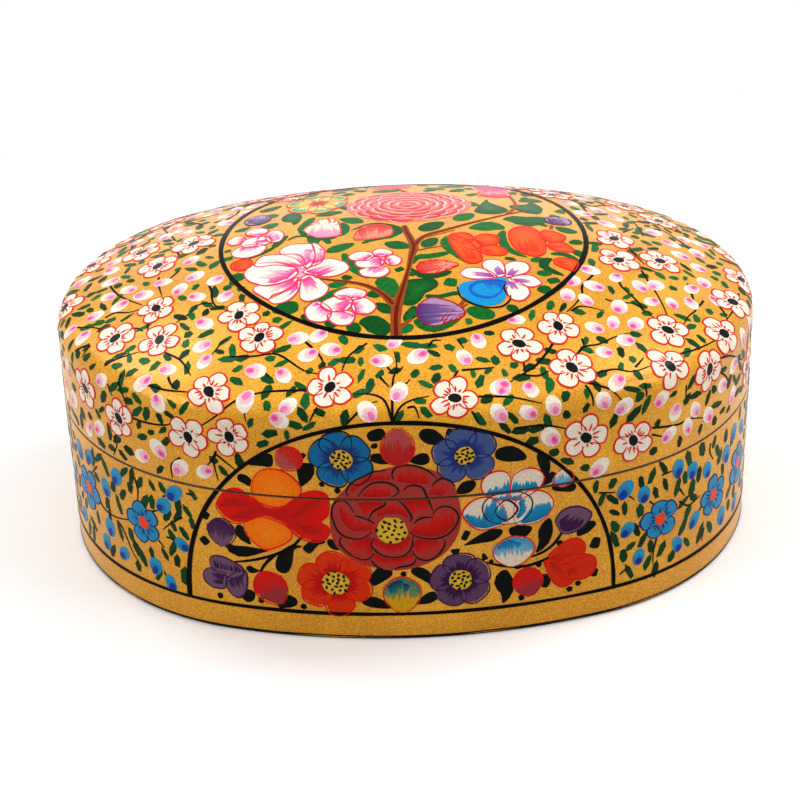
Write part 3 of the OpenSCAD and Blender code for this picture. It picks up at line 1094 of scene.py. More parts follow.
ROSE_LINES = [
    [(-17, 40.9), (-18, 43), (-19.4, 44.6), (-20.9, 44.7), (-22.4, 43.7), (-23.1, 41),
     (-22.7, 38.2), (-21.8, 35.5), (-20.1, 33.6), (-17.1, 32.7), (-14.7, 33.2), (-12.4, 35)],
    [(-16.9, 40.1), (-14.9, 39.5), (-12.9, 38.5), (-11.6, 37.5)],
    [(-20.6, 33.4), (-21.3, 31.7), (-20.4, 29.7), (-17.9, 27.3), (-15.3, 26.2),
     (-13.3, 26.6), (-12.3, 28.3)],
    [(-12.9, 25.9), (-11.7, 24.1), (-9.8, 23)],
    [(-6.7, 23), (-5.3, 23.7), (-2.7, 24.1), (-1.3, 25), (-0.9, 26.2)],
    [(-12.1, 32.8), (-12.8, 31), (-11.9, 29.3), (-9.9, 27.6), (-6.9, 26.8), (-3.9, 27.4),
     (-2.1, 29.5), (-1.6, 31.9), (-1.4, 33.5)],
    [(-1.8, 28.9), (-0.7, 26.7), (1.4, 25.6), (3.8, 26), (5.9, 28), (7.1, 30.5), (6.6, 31.9)],
    [(4, 39), (1.8, 39.2), (0, 38.5), (-1.2, 37.4)],
    [(-2.6, 34.9), (-0.6, 33.3), (2.4, 32.4), (5.4, 32.4), (8.1, 33.6), (10.1, 36),
     (10.9, 38.6), (10, 40.8), (8.2, 42.1), (6.2, 42.2), (4.7, 41.2), (3.9, 39.9)],
    [(-15.8, 46.1), (-14, 48.5), (-11.7, 50.2), (-8.6, 50.4), (-6.3, 49.5), (-5.1, 48.1),
     (-5.3, 46.9), (-6.9, 45.9)],
    [(-18.5, 46.1), (-18.9, 47.5), (-18.1, 49.3), (-16.2, 51.1), (-13.9, 52.3),
     (-11.6, 53.6), (-8.2, 54)],
    [(-6.1, 51.1), (-6.6, 52.6), (-5.7, 54.7), (-3.1, 55.4), (-0.8, 55.2), (2.2, 54),
     (4.2, 52.2), (5.3, 51)],
    [(3.9, 48.7), (5.1, 50.2), (6.6, 50.9), (8.6, 50.2), (10.1, 48.2)],
    [(-3.7, 47.7), (-2.5, 49), (-0.5, 49.2), (1.4, 48.3), (2.5, 45.6), (3.5, 42.8),
     (3.9, 41)],
    [(-8.6, 44.5), (-8.9, 43.3), (-11.9, 41.4), (-13.2, 38.9)],
    [(-4.9, 44.7), (-3.2, 42.5), (-1.7, 39.5), (-2.2, 38)]]

# Where the red lies in each petal: the curve that it starts from, and where its teeth end
ROSE_REDS = [
    ([(-20.9, 42.5), (-20.3, 38.5), (-17.5, 35.4), (-12.2, 35.8)],
     [(-19.3, 41.5), (-17.5, 39.6), (-15, 38.4), (-12, 37.4)]),
    ([(-16.8, 32), (-13, 33.2), (-12.8, 29)], [(-19.8, 31), (-17.2, 28.6), (-13.8, 27.2)]),
    ([(-12, 33.3), (-9.5, 31.4), (-5.5, 31.2), (-2.6, 33.5)],
     [(-11.8, 30.4), (-9, 28.2), (-5, 28), (-2.6, 30.4)]),
    ([(-12.2, 28.2), (-9, 26.7), (-5, 26.5), (-1.8, 28.2)],
     [(-11.6, 25.6), (-9, 24.2), (-5, 24.6), (-1.8, 26)]),
    ([(-1.3, 30.5), (0, 32.4), (4.8, 31.6)], [(0.2, 27.6), (2.6, 27.6), (5.6, 29.2)]),
    ([(-2, 34.7), (1.5, 33.2), (6, 33.2), (9.6, 36.5)],
     [(0, 37.4), (3, 38.6), (6.6, 40.6), (9.4, 40.6)]),
    ([(-14.6, 46.2), (-11, 46), (-7.6, 46.2)], [(-11.8, 49.4), (-9.4, 49.4), (-6.8, 48.4)]),
    ([(-17.6, 47.4), (-15.2, 49.6), (-12, 51), (-7.4, 51.2)],
     [(-16.6, 50.2), (-13.6, 51.8), (-10.6, 53), (-7.2, 53.2)]),
    ([(-4.8, 50.6), (-1.5, 49.8), (2.8, 49.6)], [(-5.2, 53.8), (-1, 54.2), (3, 52)]),
    ([(3, 46.2), (6.4, 45.8)], [(5, 49.4), (8.6, 48.6)]),
    ([(-10.8, 39.8), (-8, 40.6), (-5, 40.6), (-2.8, 39.4)],
     [(-10.8, 42), (-8, 43.8), (-5.5, 43.8), (-3.4, 42)]),
    ([(-15.8, 44.2), (-12.4, 44.5), (-9.4, 44.2)], [(-14.6, 40.4), (-13.2, 40), (-11, 42)]),
    ([(-3.8, 44.6), (0, 44.8), (3, 44.4)], [(-1.6, 40.4), (0.6, 40), (3.2, 41.4)])]

# Leaves of the arched picture: the brush's path, and its width on the way
LUNETTE_LEAVES = [
    ([(-53.6, 28.6), (-51, 26.4), (-47.5, 26.4), (-44, 27), (-41, 27.4)],
     [1.2, 3.2, 3.4, 1.8, 0.4]),
    ([(-49, 34.8), (-48.4, 31.8), (-46, 28.9)], [1.8, 3.2, 0.8]),
    ([(-31.6, 29.6), (-34.5, 29), (-36.5, 25.5), (-37.8, 20.6)], [0.6, 1.8, 4.4, 4.6]),
    ([(-47, 21.8), (-46.4, 20.6), (-44, 20.6)], [1.8, 2.2, 0.6]),
    ([(-49.6, 11), (-47.8, 12), (-45.9, 11.6)], [3.4, 4.4, 3.2]),
    ([(-39.2, 9.2), (-36.8, 11.4), (-33.8, 11.2)], [1.6, 4.4, 2.4]),
    ([(-25.2, 31.5), (-28, 31), (-30.8, 28)], [1.0, 2.2, 3.4]),
    ([(-24.3, 32.3), (-22.8, 30.4), (-20.5, 29.3)], [1.6, 2.6, 0.8]),
    ([(-38.2, 55.8), (-41.5, 55.8), (-45.2, 54.2)], [4.4, 3.8, 1.2]),
    ([(-48.5, 49.8), (-46.3, 49.3), (-44.6, 47.6)], [2.2, 2.8, 1.8]),
    ([(-29.8, 55.8), (-29.6, 53), (-31, 48.6)], [4.2, 4.8, 1.1]),
    ([(-12.2, 58), (-9.5, 57.5), (-6.4, 56.8)], [2.2, 3.2, 2.0]),
    ([(-1.9, 56.6), (1.2, 57), (3.4, 57.4)], [1.0, 3.6, 2.8]),
    ([(-13.3, 18), (-10.2, 21.5), (-7.3, 22.2)], [2.6, 4.4, 3.0]),
    ([(-2.2, 22.7), (1.2, 21), (4, 17.5)], [2.4, 3.4, 1.4]),
    ([(-16, 12.6), (-12.5, 12.3), (-8, 10.5)], [2.0, 3.6, 1.2]),
    ([(-1, 11.6), (2, 13), (4.6, 14.4)], [0.8, 3.2, 3.0]),
    ([(9.3, 45), (9.4, 43)], [1.4, 2.0]),
    ([(10.4, 46), (13, 47.6), (15.6, 49)], [1.2, 3.8, 1.8]),
    ([(35.8, 34.9), (34.8, 31.1), (34.3, 27.5), (32.1, 24.5)], [2.0, 4.2, 3.0, 0.8]),
    ([(24.6, 33.2), (27.6, 32), (31, 32.6)], [1.8, 4.6, 1.6]),
    ([(12.2, 29.5), (16.5, 31), (20, 32), (22.8, 33)], [0.5, 2.6, 3.8, 1.8]),
    ([(12, 31.2), (13.4, 34)], [1.8, 1.8]),
    ([(23.4, 20.4), (23, 16.8), (23.9, 13), (22.8, 9.6)], [2.4, 5.4, 3.6, 1.0]),
    ([(33, 16.8), (35, 15.6), (34.4, 12.8)], [1.0, 2.8, 2.4]),
    ([(43.9, 27.6), (46, 29.6), (49.3, 30.8)], [1.2, 3.6, 2.0]),
    ([(36.4, 45), (40, 44.4), (43.2, 42.8)], [3.2, 3.8, 2.4]),
    ([(32.6, 55.6), (34.4, 52), (34.9, 47.8)], [1.8, 3.2, 1.0]),
    ([(20.8, 56.8), (25, 56.5), (29.4, 54.6)], [3.2, 4.8, 1.8]),
    ([(32.7, 45.6), (35.5, 47), (37.2, 49)], [0.6, 2.4, 2.4]),
    ([(-8, 65.4), (-10.4, 64.6), (-12.8, 64)], [3.0, 3.6, 2.6]),
    ([(1, 65.2), (4, 63.6), (7.8, 61.6)], [2.6, 4.6, 1.6]),
    ([(9.8, 28.6), (10, 26)], [3.0, 0.8]), ([(17.4, 26.4), (18, 24.2)], [0.8, 2.0]),
    ([(49.8, 26), (48.8, 22.6)], [2.4, 3.2]), ([(49.6, 16), (48.4, 13.6)], [2.0, 3.0]),
    ([(8, 65), (9.6, 64.4)], [2.0, 2.2]), ([(-59, 35), (-58, 37.4)], [1.6, 2.2]),
    ([(-60.4, 29), (-58.6, 27)], [2.4, 2.6])]

LUNETTE_DOTS = [(-44.2, 10.9), (-32.2, 10.2), (-56.1, 10.7), (-25.4, 49.5), (-21.3, 47.8),
                (-30.3, 57.8), (-4.4, 21.4), (19.6, 23.4), (28, 10.6), (41.9, 10.9),
                (44.4, 12.2), (38.8, 26.3), (33, 20.6), (27, 20.8), (-11, 61.4), (30, 50.4)]

LUNETTE_STEMS = [
    [(-31, 33.4), (-34.5, 29.3), (-39.3, 26.4), (-45.3, 24), (-51.5, 22.4)],
    [(-39, 26.4), (-41.5, 24), (-43.2, 21.5), (-44, 19.1)],
    [(39.6, 29.9), (37.3, 26.6), (34.3, 24.5), (30.8, 23.4)],
    [(36, 22.5), (33.4, 21.5), (29.4, 20.7), (24.9, 21.2), (21.6, 22.1), (18.3, 23.4)]]

IRIS_RED = [(-55, 40.4), (-53.5, 43.8), (-51.1, 46), (-47.8, 46.2), (-44.5, 43.6),
            (-41, 41.4), (-37.8, 41.4), (-35, 42.7), (-33, 44.8), (-29.9, 46.9),
            (-26.6, 47.6), (-24, 46.4), (-23.4, 43.6), (-23.9, 40.3), (-26, 37.9),
            (-24.3, 36.6), (-23.6, 34.8), (-24.9, 32.7), (-27.5, 31.8), (-30.4, 32.2),
            (-32.8, 33.6), (-35.2, 36.2), (-38.6, 37.8), (-42.2, 38.6), (-45.2, 37.2),
            (-48.8, 35.6), (-51.7, 36.2), (-53.8, 38)]
IRIS_TOP = [(-44.6, 49), (-42.7, 52), (-39.7, 53.2), (-36.1, 52.7), (-33.3, 50.8),
            (-31.5, 48.2), (-31.7, 45.9), (-33.4, 44.3), (-35.6, 42.4), (-38.4, 41.4),
            (-41.6, 41.9), (-43.8, 43), (-45, 45.4)]
IRIS_LOW = [(-47, 35.3), (-45.1, 37.9), (-42.1, 38.9), (-38.6, 37.8), (-35.5, 36.4),
            (-33.8, 34.2), (-34.3, 31.5), (-36.6, 29.5), (-39.3, 28.1), (-41.4, 27.4),
            (-43.5, 28.5), (-45.7, 30.6), (-47, 32.7)]

LILY_PETALS = [
    [(25, 48), (24.4, 50.2), (22.8, 51.3), (20.4, 51.3), (18.3, 50.2), (17.1, 48),
     (17.6, 45.4), (20, 43.4), (24, 42.6)],
    [(25.1, 42.6), (29, 43), (32.6, 45), (33.9, 47.2), (33.8, 49.2), (32.1, 51),
     (29.4, 51.7), (26.9, 51), (25.2, 49)],
    [(24.2, 35.5), (22.6, 34.8), (20, 34.1), (17, 33.9), (14.7, 35), (13.1, 36.7),
     (11.8, 39.2), (12.5, 41.2), (14.4, 43.1), (17, 44), (20, 43.4), (23, 40)],
    [(26.4, 34.9), (29.4, 33.9), (32.7, 34.1), (35, 35.3), (36.6, 37.3), (37.2, 39.4),
     (36.3, 41.6), (34.7, 43.2), (32, 44.2), (29.2, 44), (26.4, 41)],
    [(24, 34.9), (20, 35.9), (18, 37.6), (17.2, 40.3), (17.9, 42.8), (20.4, 44.4),
     (24, 44.8), (28, 44.3), (30.4, 42.2), (30.9, 39.8), (30.1, 37.2), (27.6, 35.3)]]
LILY_BLUES = [
    ([(18.6, 44.4), (24.8, 44.4)], [(19.2, 46.6), (24.4, 48.6)], 8),
    ([(25.4, 44.4), (32.2, 45)], [(26, 48.4), (31.8, 47.6)], 8),
    ([(12.8, 38.4), (14.6, 35.6), (18, 34.4), (22.4, 35.2)],
     [(13.2, 39.8), (15.6, 38.8), (18.6, 39.6), (20.4, 37.6)], 13),
    ([(28, 34.6), (31.6, 34.7), (34.4, 35.8), (36, 37.6)],
     [(30.4, 39), (32, 40), (34, 40.6), (35.8, 40.4)], 13),
    ([(18.2, 38.4), (20, 36.4), (23.4, 35.6)], [(18.4, 41.8), (21, 43.6), (24, 40)], 9),
    ([(20.2, 42.4), (24, 42.6), (27.6, 41.8)], [(20.6, 43.8), (24, 44.4), (28, 43.8)], 9),
    ([(27.4, 41), (27.6, 38.6), (26.6, 36.6)], [(29, 42.6), (29.8, 40), (29, 37.6)], 8)]

TULIP = [
    [(35.6, 22.6), (37.9, 25), (41.2, 26.9), (43.9, 26.9), (46, 25), (46.2, 22.2),
     (44, 20), (39, 19.4)],
    [(38, 20.6), (43, 22.2), (48.2, 20.8), (49.6, 18.4), (49, 15.8), (46.6, 13.9),
     (43.6, 13.9), (40, 15.6)],
    [(34.7, 21.6), (35.2, 18.2), (36.9, 14.4), (39.4, 12), (42.2, 12.4), (43.8, 14.6),
     (42.8, 17.6), (39.6, 20.6)]]
TULIP_REDS = [([(36.4, 22), (38.6, 20.6)], [(40.4, 25.6), (45, 23.4)]),
              ([(41, 17), (41.4, 15.6)], [(46.6, 19.6), (47.4, 16.2)]),
              ([(36, 20.6), (37.8, 19.6)], [(37.6, 15.2), (41.6, 14.6)])]

TULIP_BUD = [(37.9, 32.1), (37.4, 34.2), (39.3, 36.8), (42.2, 37.5), (45.1, 36.7),
             (47.8, 34.2), (46.4, 31.5), (44.1, 29.8), (41.5, 29.2), (39.2, 29.7)]

PANSY_TOP = [(-58.4, 21.6), (-57.6, 23.6), (-54.6, 24), (-51.4, 22.8), (-48.6, 20.8),
             (-49.6, 17.4), (-53.4, 17.6), (-57.4, 19.2)]
PANSY_LEFT = [(-58.4, 19.4), (-60.4, 17.6), (-60.2, 14.8), (-57.6, 13.2), (-54.6, 13.4),
              (-53.6, 15.6), (-54.2, 18.4)]
PANSY_RIGHT = [(-54.2, 16), (-53.2, 12.6), (-50.6, 11.2), (-48.6, 13.4), (-47.8, 17.4),
               (-48.4, 20.4), (-51.4, 19.4)]


# Buds of the arched picture: s, h, turn of the tip from straight up, length, width, tints
# of the tip and of the foot, a deeper patch in the foot, and the line round it
LUNETTE_BUDS = [
    (-4.9, 61, 0, 11.2, 8.6, "#B84A48", "#B81414", None, "scarlet"),
    (-34, 56.8, 135, 7.6, 7.0, "#B84A48", "#D01C14", None, "scarlet"),
    (-4.8, 14.7, 180, 11.4, 9.8, "#D9A514", "#1F7C66", "navy", "scarlet"),
    (-40.9, 15.3, 205, 11, 9, "#A03038", "scarlet", None, "scarlet"),
    (29.9, 15.2, 192, 9.2, 8, "#A03038", "scarlet", None, "scarlet"),
    (-54.5, 31.4, 180, 8.9, 7.6, "plum", "plum_deep", None, "plum_deep"),
    (25.7, 25.9, 180, 9.6, 10.9, "bone", "azure", "azure_deep", "scarlet"),
    (39.4, 47, 0, 5.4, 5.4, "bone", "azure", None, "scarlet")]


def paint_rose(coat):
    """The great rose: one muted ground, red brushed into each petal, thin black lines."""
    blot(coat, ROSE_BASE, PETAL, tint("rose"))
    for base, tips in ROSE_REDS:
        run = sum(math.dist(a, b) for a, b in zip(base, base[1:]))
        comb(coat, base, tips, round(run * 1.5), 0.95, tint("crimson"), tint("scarlet"),
             (0.65, 1.1))
    for line in ROSE_LINES:
        pen(coat, line, 0.52, tint("black"))
    stippled_eye(coat, coat.spot(-7.1, 35.4), 4.2, 19)


def paint_iris(coat):
    """Two orange ovals with a red band of lobes laid across them."""
    for oval in (IRIS_TOP, IRIS_LOW):
        blot(coat, oval, PETAL, tint("orange"), tint("#FF8810"))
        pen_round(coat, oval, 0.4, tint("scarlet"), 0.5)
    blot(coat, IRIS_RED, PETAL + 0.012, tint("#E4140A"), tint("#C40C06"), (-39, 39.6))
    pen_round(coat, IRIS_RED, 0.38, tint("scarlet"), 0.5)
    for line in ([(-54, 40), (-50, 42), (-44, 40.6)], [(-51, 37), (-46, 38.6), (-42, 40)],
                 [(-34, 38.8), (-29, 42.6), (-26, 44.6)], [(-33, 37), (-29, 35), (-26, 35)]):
        coat.stroke(line, [0.6, 2.6, 0.8], SHADE, tint("#B81008"), tint("#C4140A"))


def paint_lily(coat):
    """A white flower with blue teeth that start from the edges of its petals."""
    for petal in LILY_PETALS:
        blot(coat, petal, PETAL + hand.uniform(-0.004, 0.008), tint("bone"))
    for base, tips, count in LILY_BLUES:
        comb(coat, base, tips, round(count * 1.3), 1.15, tint("azure_deep"), tint("azure"),
             (0.7, 1.05))
    for petal in LILY_PETALS[:4]:
        pen_round(coat, petal, 0.4, tint("scarlet"), 0.3)
    pen_round(coat, LILY_PETALS[4], 0.4, tint("black"), 0.2)
    pen_round(coat, [(20.8, 39.3), (23.9, 42.5), (27, 39.3), (23.9, 36.2)], 0.5,
              tint("black"), 0.1)


def paint_tulips(coat):
    """The orange flower and the purple bud at the right of the arched picture."""
    for petal in TULIP:
        blot(coat, petal, PETAL + hand.uniform(-0.004, 0.008), tint("orange_red"))
        pen_round(coat, petal, 0.4, tint("scarlet"), 0.35)
    for base, tips in TULIP_REDS:
        comb(coat, base, tips, 7, 0.7, tint("#B81808"), tint("#D83010"), (0.4, 1.0))
    blot(coat, TULIP_BUD, PETAL, tint("plum"))
    comb(coat, [(38.6, 33.4), (39.2, 30.6), (41.6, 29.8), (44.4, 30.6)],
         [(41.4, 35.6), (43.6, 34.4), (45, 33.8), (46.4, 32.8)], 13, 0.8,
         tint("plum_deep"), None, (0.6, 1.0))
    pen_round(coat, TULIP_BUD, 0.4, tint("plum_deep"), 0.3)


def paint_pansy(coat):
    """The dark purple flower low at the left of the arched picture."""
    for petal in (PANSY_TOP, PANSY_LEFT, PANSY_RIGHT):
        blot(coat, petal, PETAL + hand.uniform(-0.004, 0.008), tint("plum"))
        pen_round(coat, petal, 0.4, tint("plum_deep"), 0.3)
    for base, tips, count in (
            ([(-57, 19.8), (-49.6, 19.4)], [(-57.6, 22.8), (-50, 21.6)], 11),
            ([(-54.4, 17.8), (-55, 14.8)], [(-58.8, 17.8), (-58, 14.6)], 7),
            ([(-53.2, 16.4), (-49.4, 18.6)], [(-51.6, 12.4), (-49, 14.6)], 7)):
        comb(coat, base, tips, count, 0.6, tint("plum_deep"))


def paint_lunette():
    """The arched picture on the front, and the same again on the back."""
    flowers, leaves, stems = Coat(outside), Coat(outside), Coat(outside)
    paint_rose(flowers)
    paint_iris(flowers)
    paint_lily(flowers)
    paint_tulips(flowers)
    paint_pansy(flowers)
    anemone(flowers, -19.9, 57.1, (17, 70, 150, 238, 308), 8.6,
            ("cornflower", "cornflower", "navy", "#1A4E94"), "black", 3.0)
    anemone(flowers, 12.8, 57.3, (8, 75, 142, 228, 302), 8.2,
            ("slate", "slate", "navy", "#2A4690"), "navy", 2.7, dots=14)
    anemone(flowers, 11.2, 18.6, (8, 80, 152, 224, 296), 8.4,
            ("plum_warm", "plum_warm", "#2E0F3A", "plum_deep"), "plum_deep", 3.1)
    anemone(flowers, -22.9, 18.4, (10, 75, 120, 190, 250, 305), 10.2,
            ("poppy", "poppy", "crimson", "scarlet"), "scarlet", 3.75, dots=20)
    for numbers_and_tints in LUNETTE_BUDS:
        shaded_bud(flowers, *numbers_and_tints)
    for points, widths in LUNETTE_LEAVES:
        press(leaves, points, widths, blend("black", "leaf", hand.random() * 0.15))
    for u, v in LUNETTE_DOTS:
        leaf(leaves, u, v, hand.uniform(0, 180), 2.1 * wobble(0.15), 1.9, tint("black"))
    for points in LUNETTE_STEMS:
        stems.stroke(points, [0.6, 0.95, 0.85, 0.8, 0.5], BRANCH, tint("black"),
                     steps=5 * len(points))
    for coat in (flowers, leaves, stems):
        repeat_behind(coat)
    lay_both(leaves, "lunette_leaves", LEAF_PAINT)
    lay(stems, "base_lunette_stems", "base", LINE_PAINT, keep_above=False)
    lay_both(flowers, "lunette_flowers", FLOWER_PAINT)


# The round picture on the lid. Places are x and y.

TRUNK = ([(-3.8, -51.5), (-3.8, -46), (-3.2, -40.5), (-1.6, -34), (-0.2, -28), (0.8, -23),
          (1.7, -17.5), (2.6, -12.5), (2, -7.5), (1, -2.5), (0.4, 2.2)],
         [3.2, 2.8, 3, 2.2, 1.5, 1.4, 1.9, 2.6, 2.2, 2, 1.6])
BOUGHS = [
    ([(-4.2, -39.5), (-6.6, -35.4), (-9.8, -32), (-13, -29.9), (-17, -28.3), (-21, -27),
      (-25.4, -25.3)], [2.6, 2.0, 1.6, 1.3, 1.1, 0.9, 0.6]),
    ([(2.8, -11.5), (4.4, -7.6), (7, -4.6), (11, -2.2), (15.5, 0.6), (20.5, 3.9),
      (26.4, 7.8), (31.4, 11.4), (36, 14.6)], [1.9, 1.7, 1.5, 1.3, 1.2, 1.0, 0.9, 0.7, 0.5]),
    ([(6.4, -6.2), (10, -4.4), (14.5, -1.8)], [0.4, 0.4, 0.3]),
    ([(3.6, -14.2), (7.5, -12.8), (12, -11.8)], [0.7, 0.6, 0.4]),
    ([(-2.4, -47.9), (-0.4, -46.3), (0.6, -45.5)], [1.4, 1.0, 0.6]),
    ([(14, -40.5), (15.2, -38.6), (16, -37.5)], [1.2, 1.2, 0.9]),
    ([(42.8, 4.4), (42.4, 1.8)], [1.2, 1.0]),
    ([(12.6, -42.6), (14.4, -41.4), (16, -40)], [0.8, 0.8, 0.6]),
    ([(2.2, 33), (0.8, 36.4), (-1.2, 40)], [1.3, 1.1, 0.9]),
    ([(30.6, 11.2), (33.4, 18), (33, 26), (30, 36)], [1.2, 1.0, 0.9, 0.7])]

# Cream flowers: the petals, in the order in which they were laid
CREAM_PETALS = [
    [(-42, 10.4), (-45.2, 8.2), (-43.8, 5.2), (-40.4, 4.8), (-38.6, 7.6)],
    [(-47.6, 6.8), (-50.2, 4), (-48.4, 0.8), (-45.6, 1.6), (-45, 4.8)],
    [(-37.4, 6.4), (-39.2, 3), (-37.8, -1.2), (-35, -1.6), (-33.8, 2.4), (-35, 5.8)],
    [(-48.6, -3.6), (-46, -1.2), (-41.6, -1.2), (-38.8, -4.2), (-40.6, -8), (-44.6, -9),
     (-48, -7)],
    [(-46, 0.6), (-44.6, 3.2), (-41, 3.8), (-37.6, 1.8), (-38, -1.6), (-41.6, -3.2),
     (-45, -2.2)],
    [(-34.8, -9.6), (-34.3, -6.5), (-31.5, -4.8), (-27.6, -5.5), (-25.8, -6.6),
     (-25.1, -12.8), (-25.7, -17.6), (-27.7, -19.6), (-30.4, -14)],
    [(-25.8, -6.5), (-24.4, -6.3), (-22.7, -9.6), (-22.3, -12.3), (-23.2, -17.5),
     (-25.9, -19), (-24.9, -13.7)],
    [(-27.7, -19.6), (-28.1, -15), (-30, -11.6), (-34.9, -10.2), (-39.7, -9.7),
     (-42, -13.6), (-40.5, -15.6), (-35.8, -16), (-31.5, -18.4)],
    [(-42, -13.6), (-44.8, -17.4), (-43.8, -21.7), (-41.6, -24.1), (-39.2, -26),
     (-35.8, -26.3), (-31.9, -24.6), (-29.7, -21.7), (-31.5, -17.6), (-35.8, -14.6),
     (-39.6, -13.8)],
    [(-41.2, -25.5), (-42.4, -26.8), (-41.6, -28.8), (-38.2, -32.6), (-37, -31),
     (-33.6, -29.7), (-31, -26.8), (-30.1, -24.3), (-34, -25.8), (-38, -26)],
    [(-38.2, -32.4), (-36.7, -34.6), (-33.4, -34.4), (-30.8, -32), (-29.5, -28.5),
     (-29.5, -25.4), (-32, -28.8), (-36.4, -31.6)],
    [(-29.6, -31.8), (-29.5, -33.9), (-28.2, -35.4), (-26.1, -35.5), (-22.9, -33.7),
     (-21.7, -31), (-22.1, -29.4), (-24.2, -26.1), (-26.8, -23.8), (-29, -24.6),
     (-29.4, -28)],
    [(-22.8, -16.5), (-20.2, -16.5), (-17.9, -18), (-16.6, -19.2), (-15.7, -21.8),
     (-16.8, -23.9), (-19.7, -25.4), (-22.8, -25.3), (-26.4, -23.6), (-28.6, -21.8),
     (-26, -19.6)],
    [(-12.8, -13.4), (-15.8, -15.4), (-15, -17.8), (-11, -18.6), (-8.8, -16.6),
     (-9.6, -14.2)],
    [(-6.4, -12.2), (-9, -13.8), (-8, -16.4), (-5, -16.8), (-3.4, -14.6)],
    [(-3.4, -16.6), (-5.6, -18.6), (-4.8, -21.6), (-2.2, -21.8), (-1, -19)],
    [(-9.4, -22.2), (-13, -23.4), (-12, -26.4), (-7.4, -27.4), (-4.8, -25), (-5.8, -22.4)],
    [(-10.2, -17.2), (-13.8, -19.2), (-13, -22), (-9, -22.8), (-6, -20.8), (-7, -18)],
    [(-16, -31.4), (-20.2, -33.4), (-18, -36.2), (-13, -36.4), (-11.4, -33.6)],
    [(-12.2, -36.2), (-15.4, -38), (-14.8, -41.8), (-11, -42.8), (-8.9, -40)],
    [(-24.6, -36), (-28, -38.6), (-27, -43), (-22.6, -44), (-21, -40)],
    [(-18.2, -40.4), (-22, -42), (-20, -45.6), (-16, -46), (-14.6, -42.4)],
    [(-19.6, -34.8), (-23.8, -37), (-22.4, -40.4), (-17.4, -41), (-15.2, -38),
     (-16.4, -35.4)],
    [(14.6, -27), (16.2, -24.5), (19.2, -24), (22, -25.2), (24.6, -28.4), (20.6, -29.4),
     (16.9, -29.2)],
    [(22, -25.4), (21.2, -22.4), (22.4, -20.2), (24.6, -19.7), (26.5, -20.6),
     (27.3, -23.6), (27.2, -27.4), (24.8, -28.4)],
    [(27.4, -23.6), (28.1, -21.6), (30.5, -20.3), (33.3, -20.6), (34.4, -23.1),
     (33.2, -25.8), (30.2, -27.4), (27.4, -28.2)],
    [(28.4, -28.8), (31.8, -26.9), (34.6, -27), (36.6, -29.2), (36.6, -30.7),
     (34.1, -32.2), (30.8, -31.4)],
    [(27.2, -29.2), (30.5, -30.4), (32.8, -32.8), (33.1, -35.4), (31.2, -38),
     (28.7, -38.2), (27, -35.8)]]

# Where the petals of each flower meet, and how many of the petals above are its own. The
# last five are the pansy's, which have no pink.
CREAM_HEARTS = [((-41.5, 0.5), 5), ((-29.7, -21.7), 8), ((-7.5, -19.4), 5), ((-17.4, -38.4), 5)]

# Streaks brushed into the cream flowers: tint, from, to, how many
CREAM_STREAKS = [
    ("magenta", [(-39.4, 0.9), (-38.4, -0.6)], [(-43.4, 0.8), (-43, -0.6)], 3),
    ("magenta", [(-29.8, -21), (-30, -19.8)], [(-33.4, -20.8), (-33, -19.4)], 3),
    ("magenta", [(-33.4, -24), (-36, -25)], [(-38.4, -22.6), (-39.6, -24.4)], 4),
    ("pink", [(-27.4, -17), (-25.6, -10)], [(-29, -14), (-28.6, -8.6)], 7),
    ("pink", [(-23.8, -17), (-23, -10)], [(-24.8, -14.6), (-24.4, -8.8)], 5),
    ("pink", [(-31, -25), (-30.6, -29)], [(-37, -27), (-35.6, -31.4)], 5),
    ("magenta", [(-25.2, -23.4), (-24, -24.6)], [(-19.6, -19.6), (-18.6, -22)], 4),
    ("magenta", [(-28, -25), (-27, -24.4)], [(-24.4, -31.4), (-23.8, -29.6)], 3),
    ("magenta", [(-6.6, -19.6), (-6.8, -18)], [(-10, -20.6), (-10.2, -19.2)], 4),
    ("pink", [(-8, -24), (-6.6, -23)], [(-10.6, -25.4), (-7.6, -26)], 4),
    ("magenta", [(-16.4, -37.2), (-16.6, -38.8)], [(-20.4, -37.4), (-20.2, -38.8)], 3),
    ("pink", [(-17.4, -41.8), (-16.2, -41.8)], [(-18.6, -44.2), (-16.8, -44.4)], 3),
    ("pink", [(-36.2, 1), (-35.4, -0.4)], [(-36.8, 4.2), (-35.4, 4)], 3),
    ("#8A3AA0", [(24, -28.2), (23, -27.2)], [(17, -28), (18, -25.6)], 6),
    ("#8A3AA0", [(25.2, -27.4), (26.8, -27)], [(23.4, -23), (25.6, -22.4)], 5),
    ("#8A3AA0", [(27.8, -27.4), (29, -27.2)], [(29.4, -23.2), (32, -24)], 6),
    ("#8A3AA0", [(29.2, -29.2), (29.8, -30.2)], [(34.4, -28.6), (34.2, -30.6)], 4),
    ("#8A3AA0", [(27.8, -30.2), (29, -30.8)], [(28.6, -35), (30.8, -34.6)], 4)]

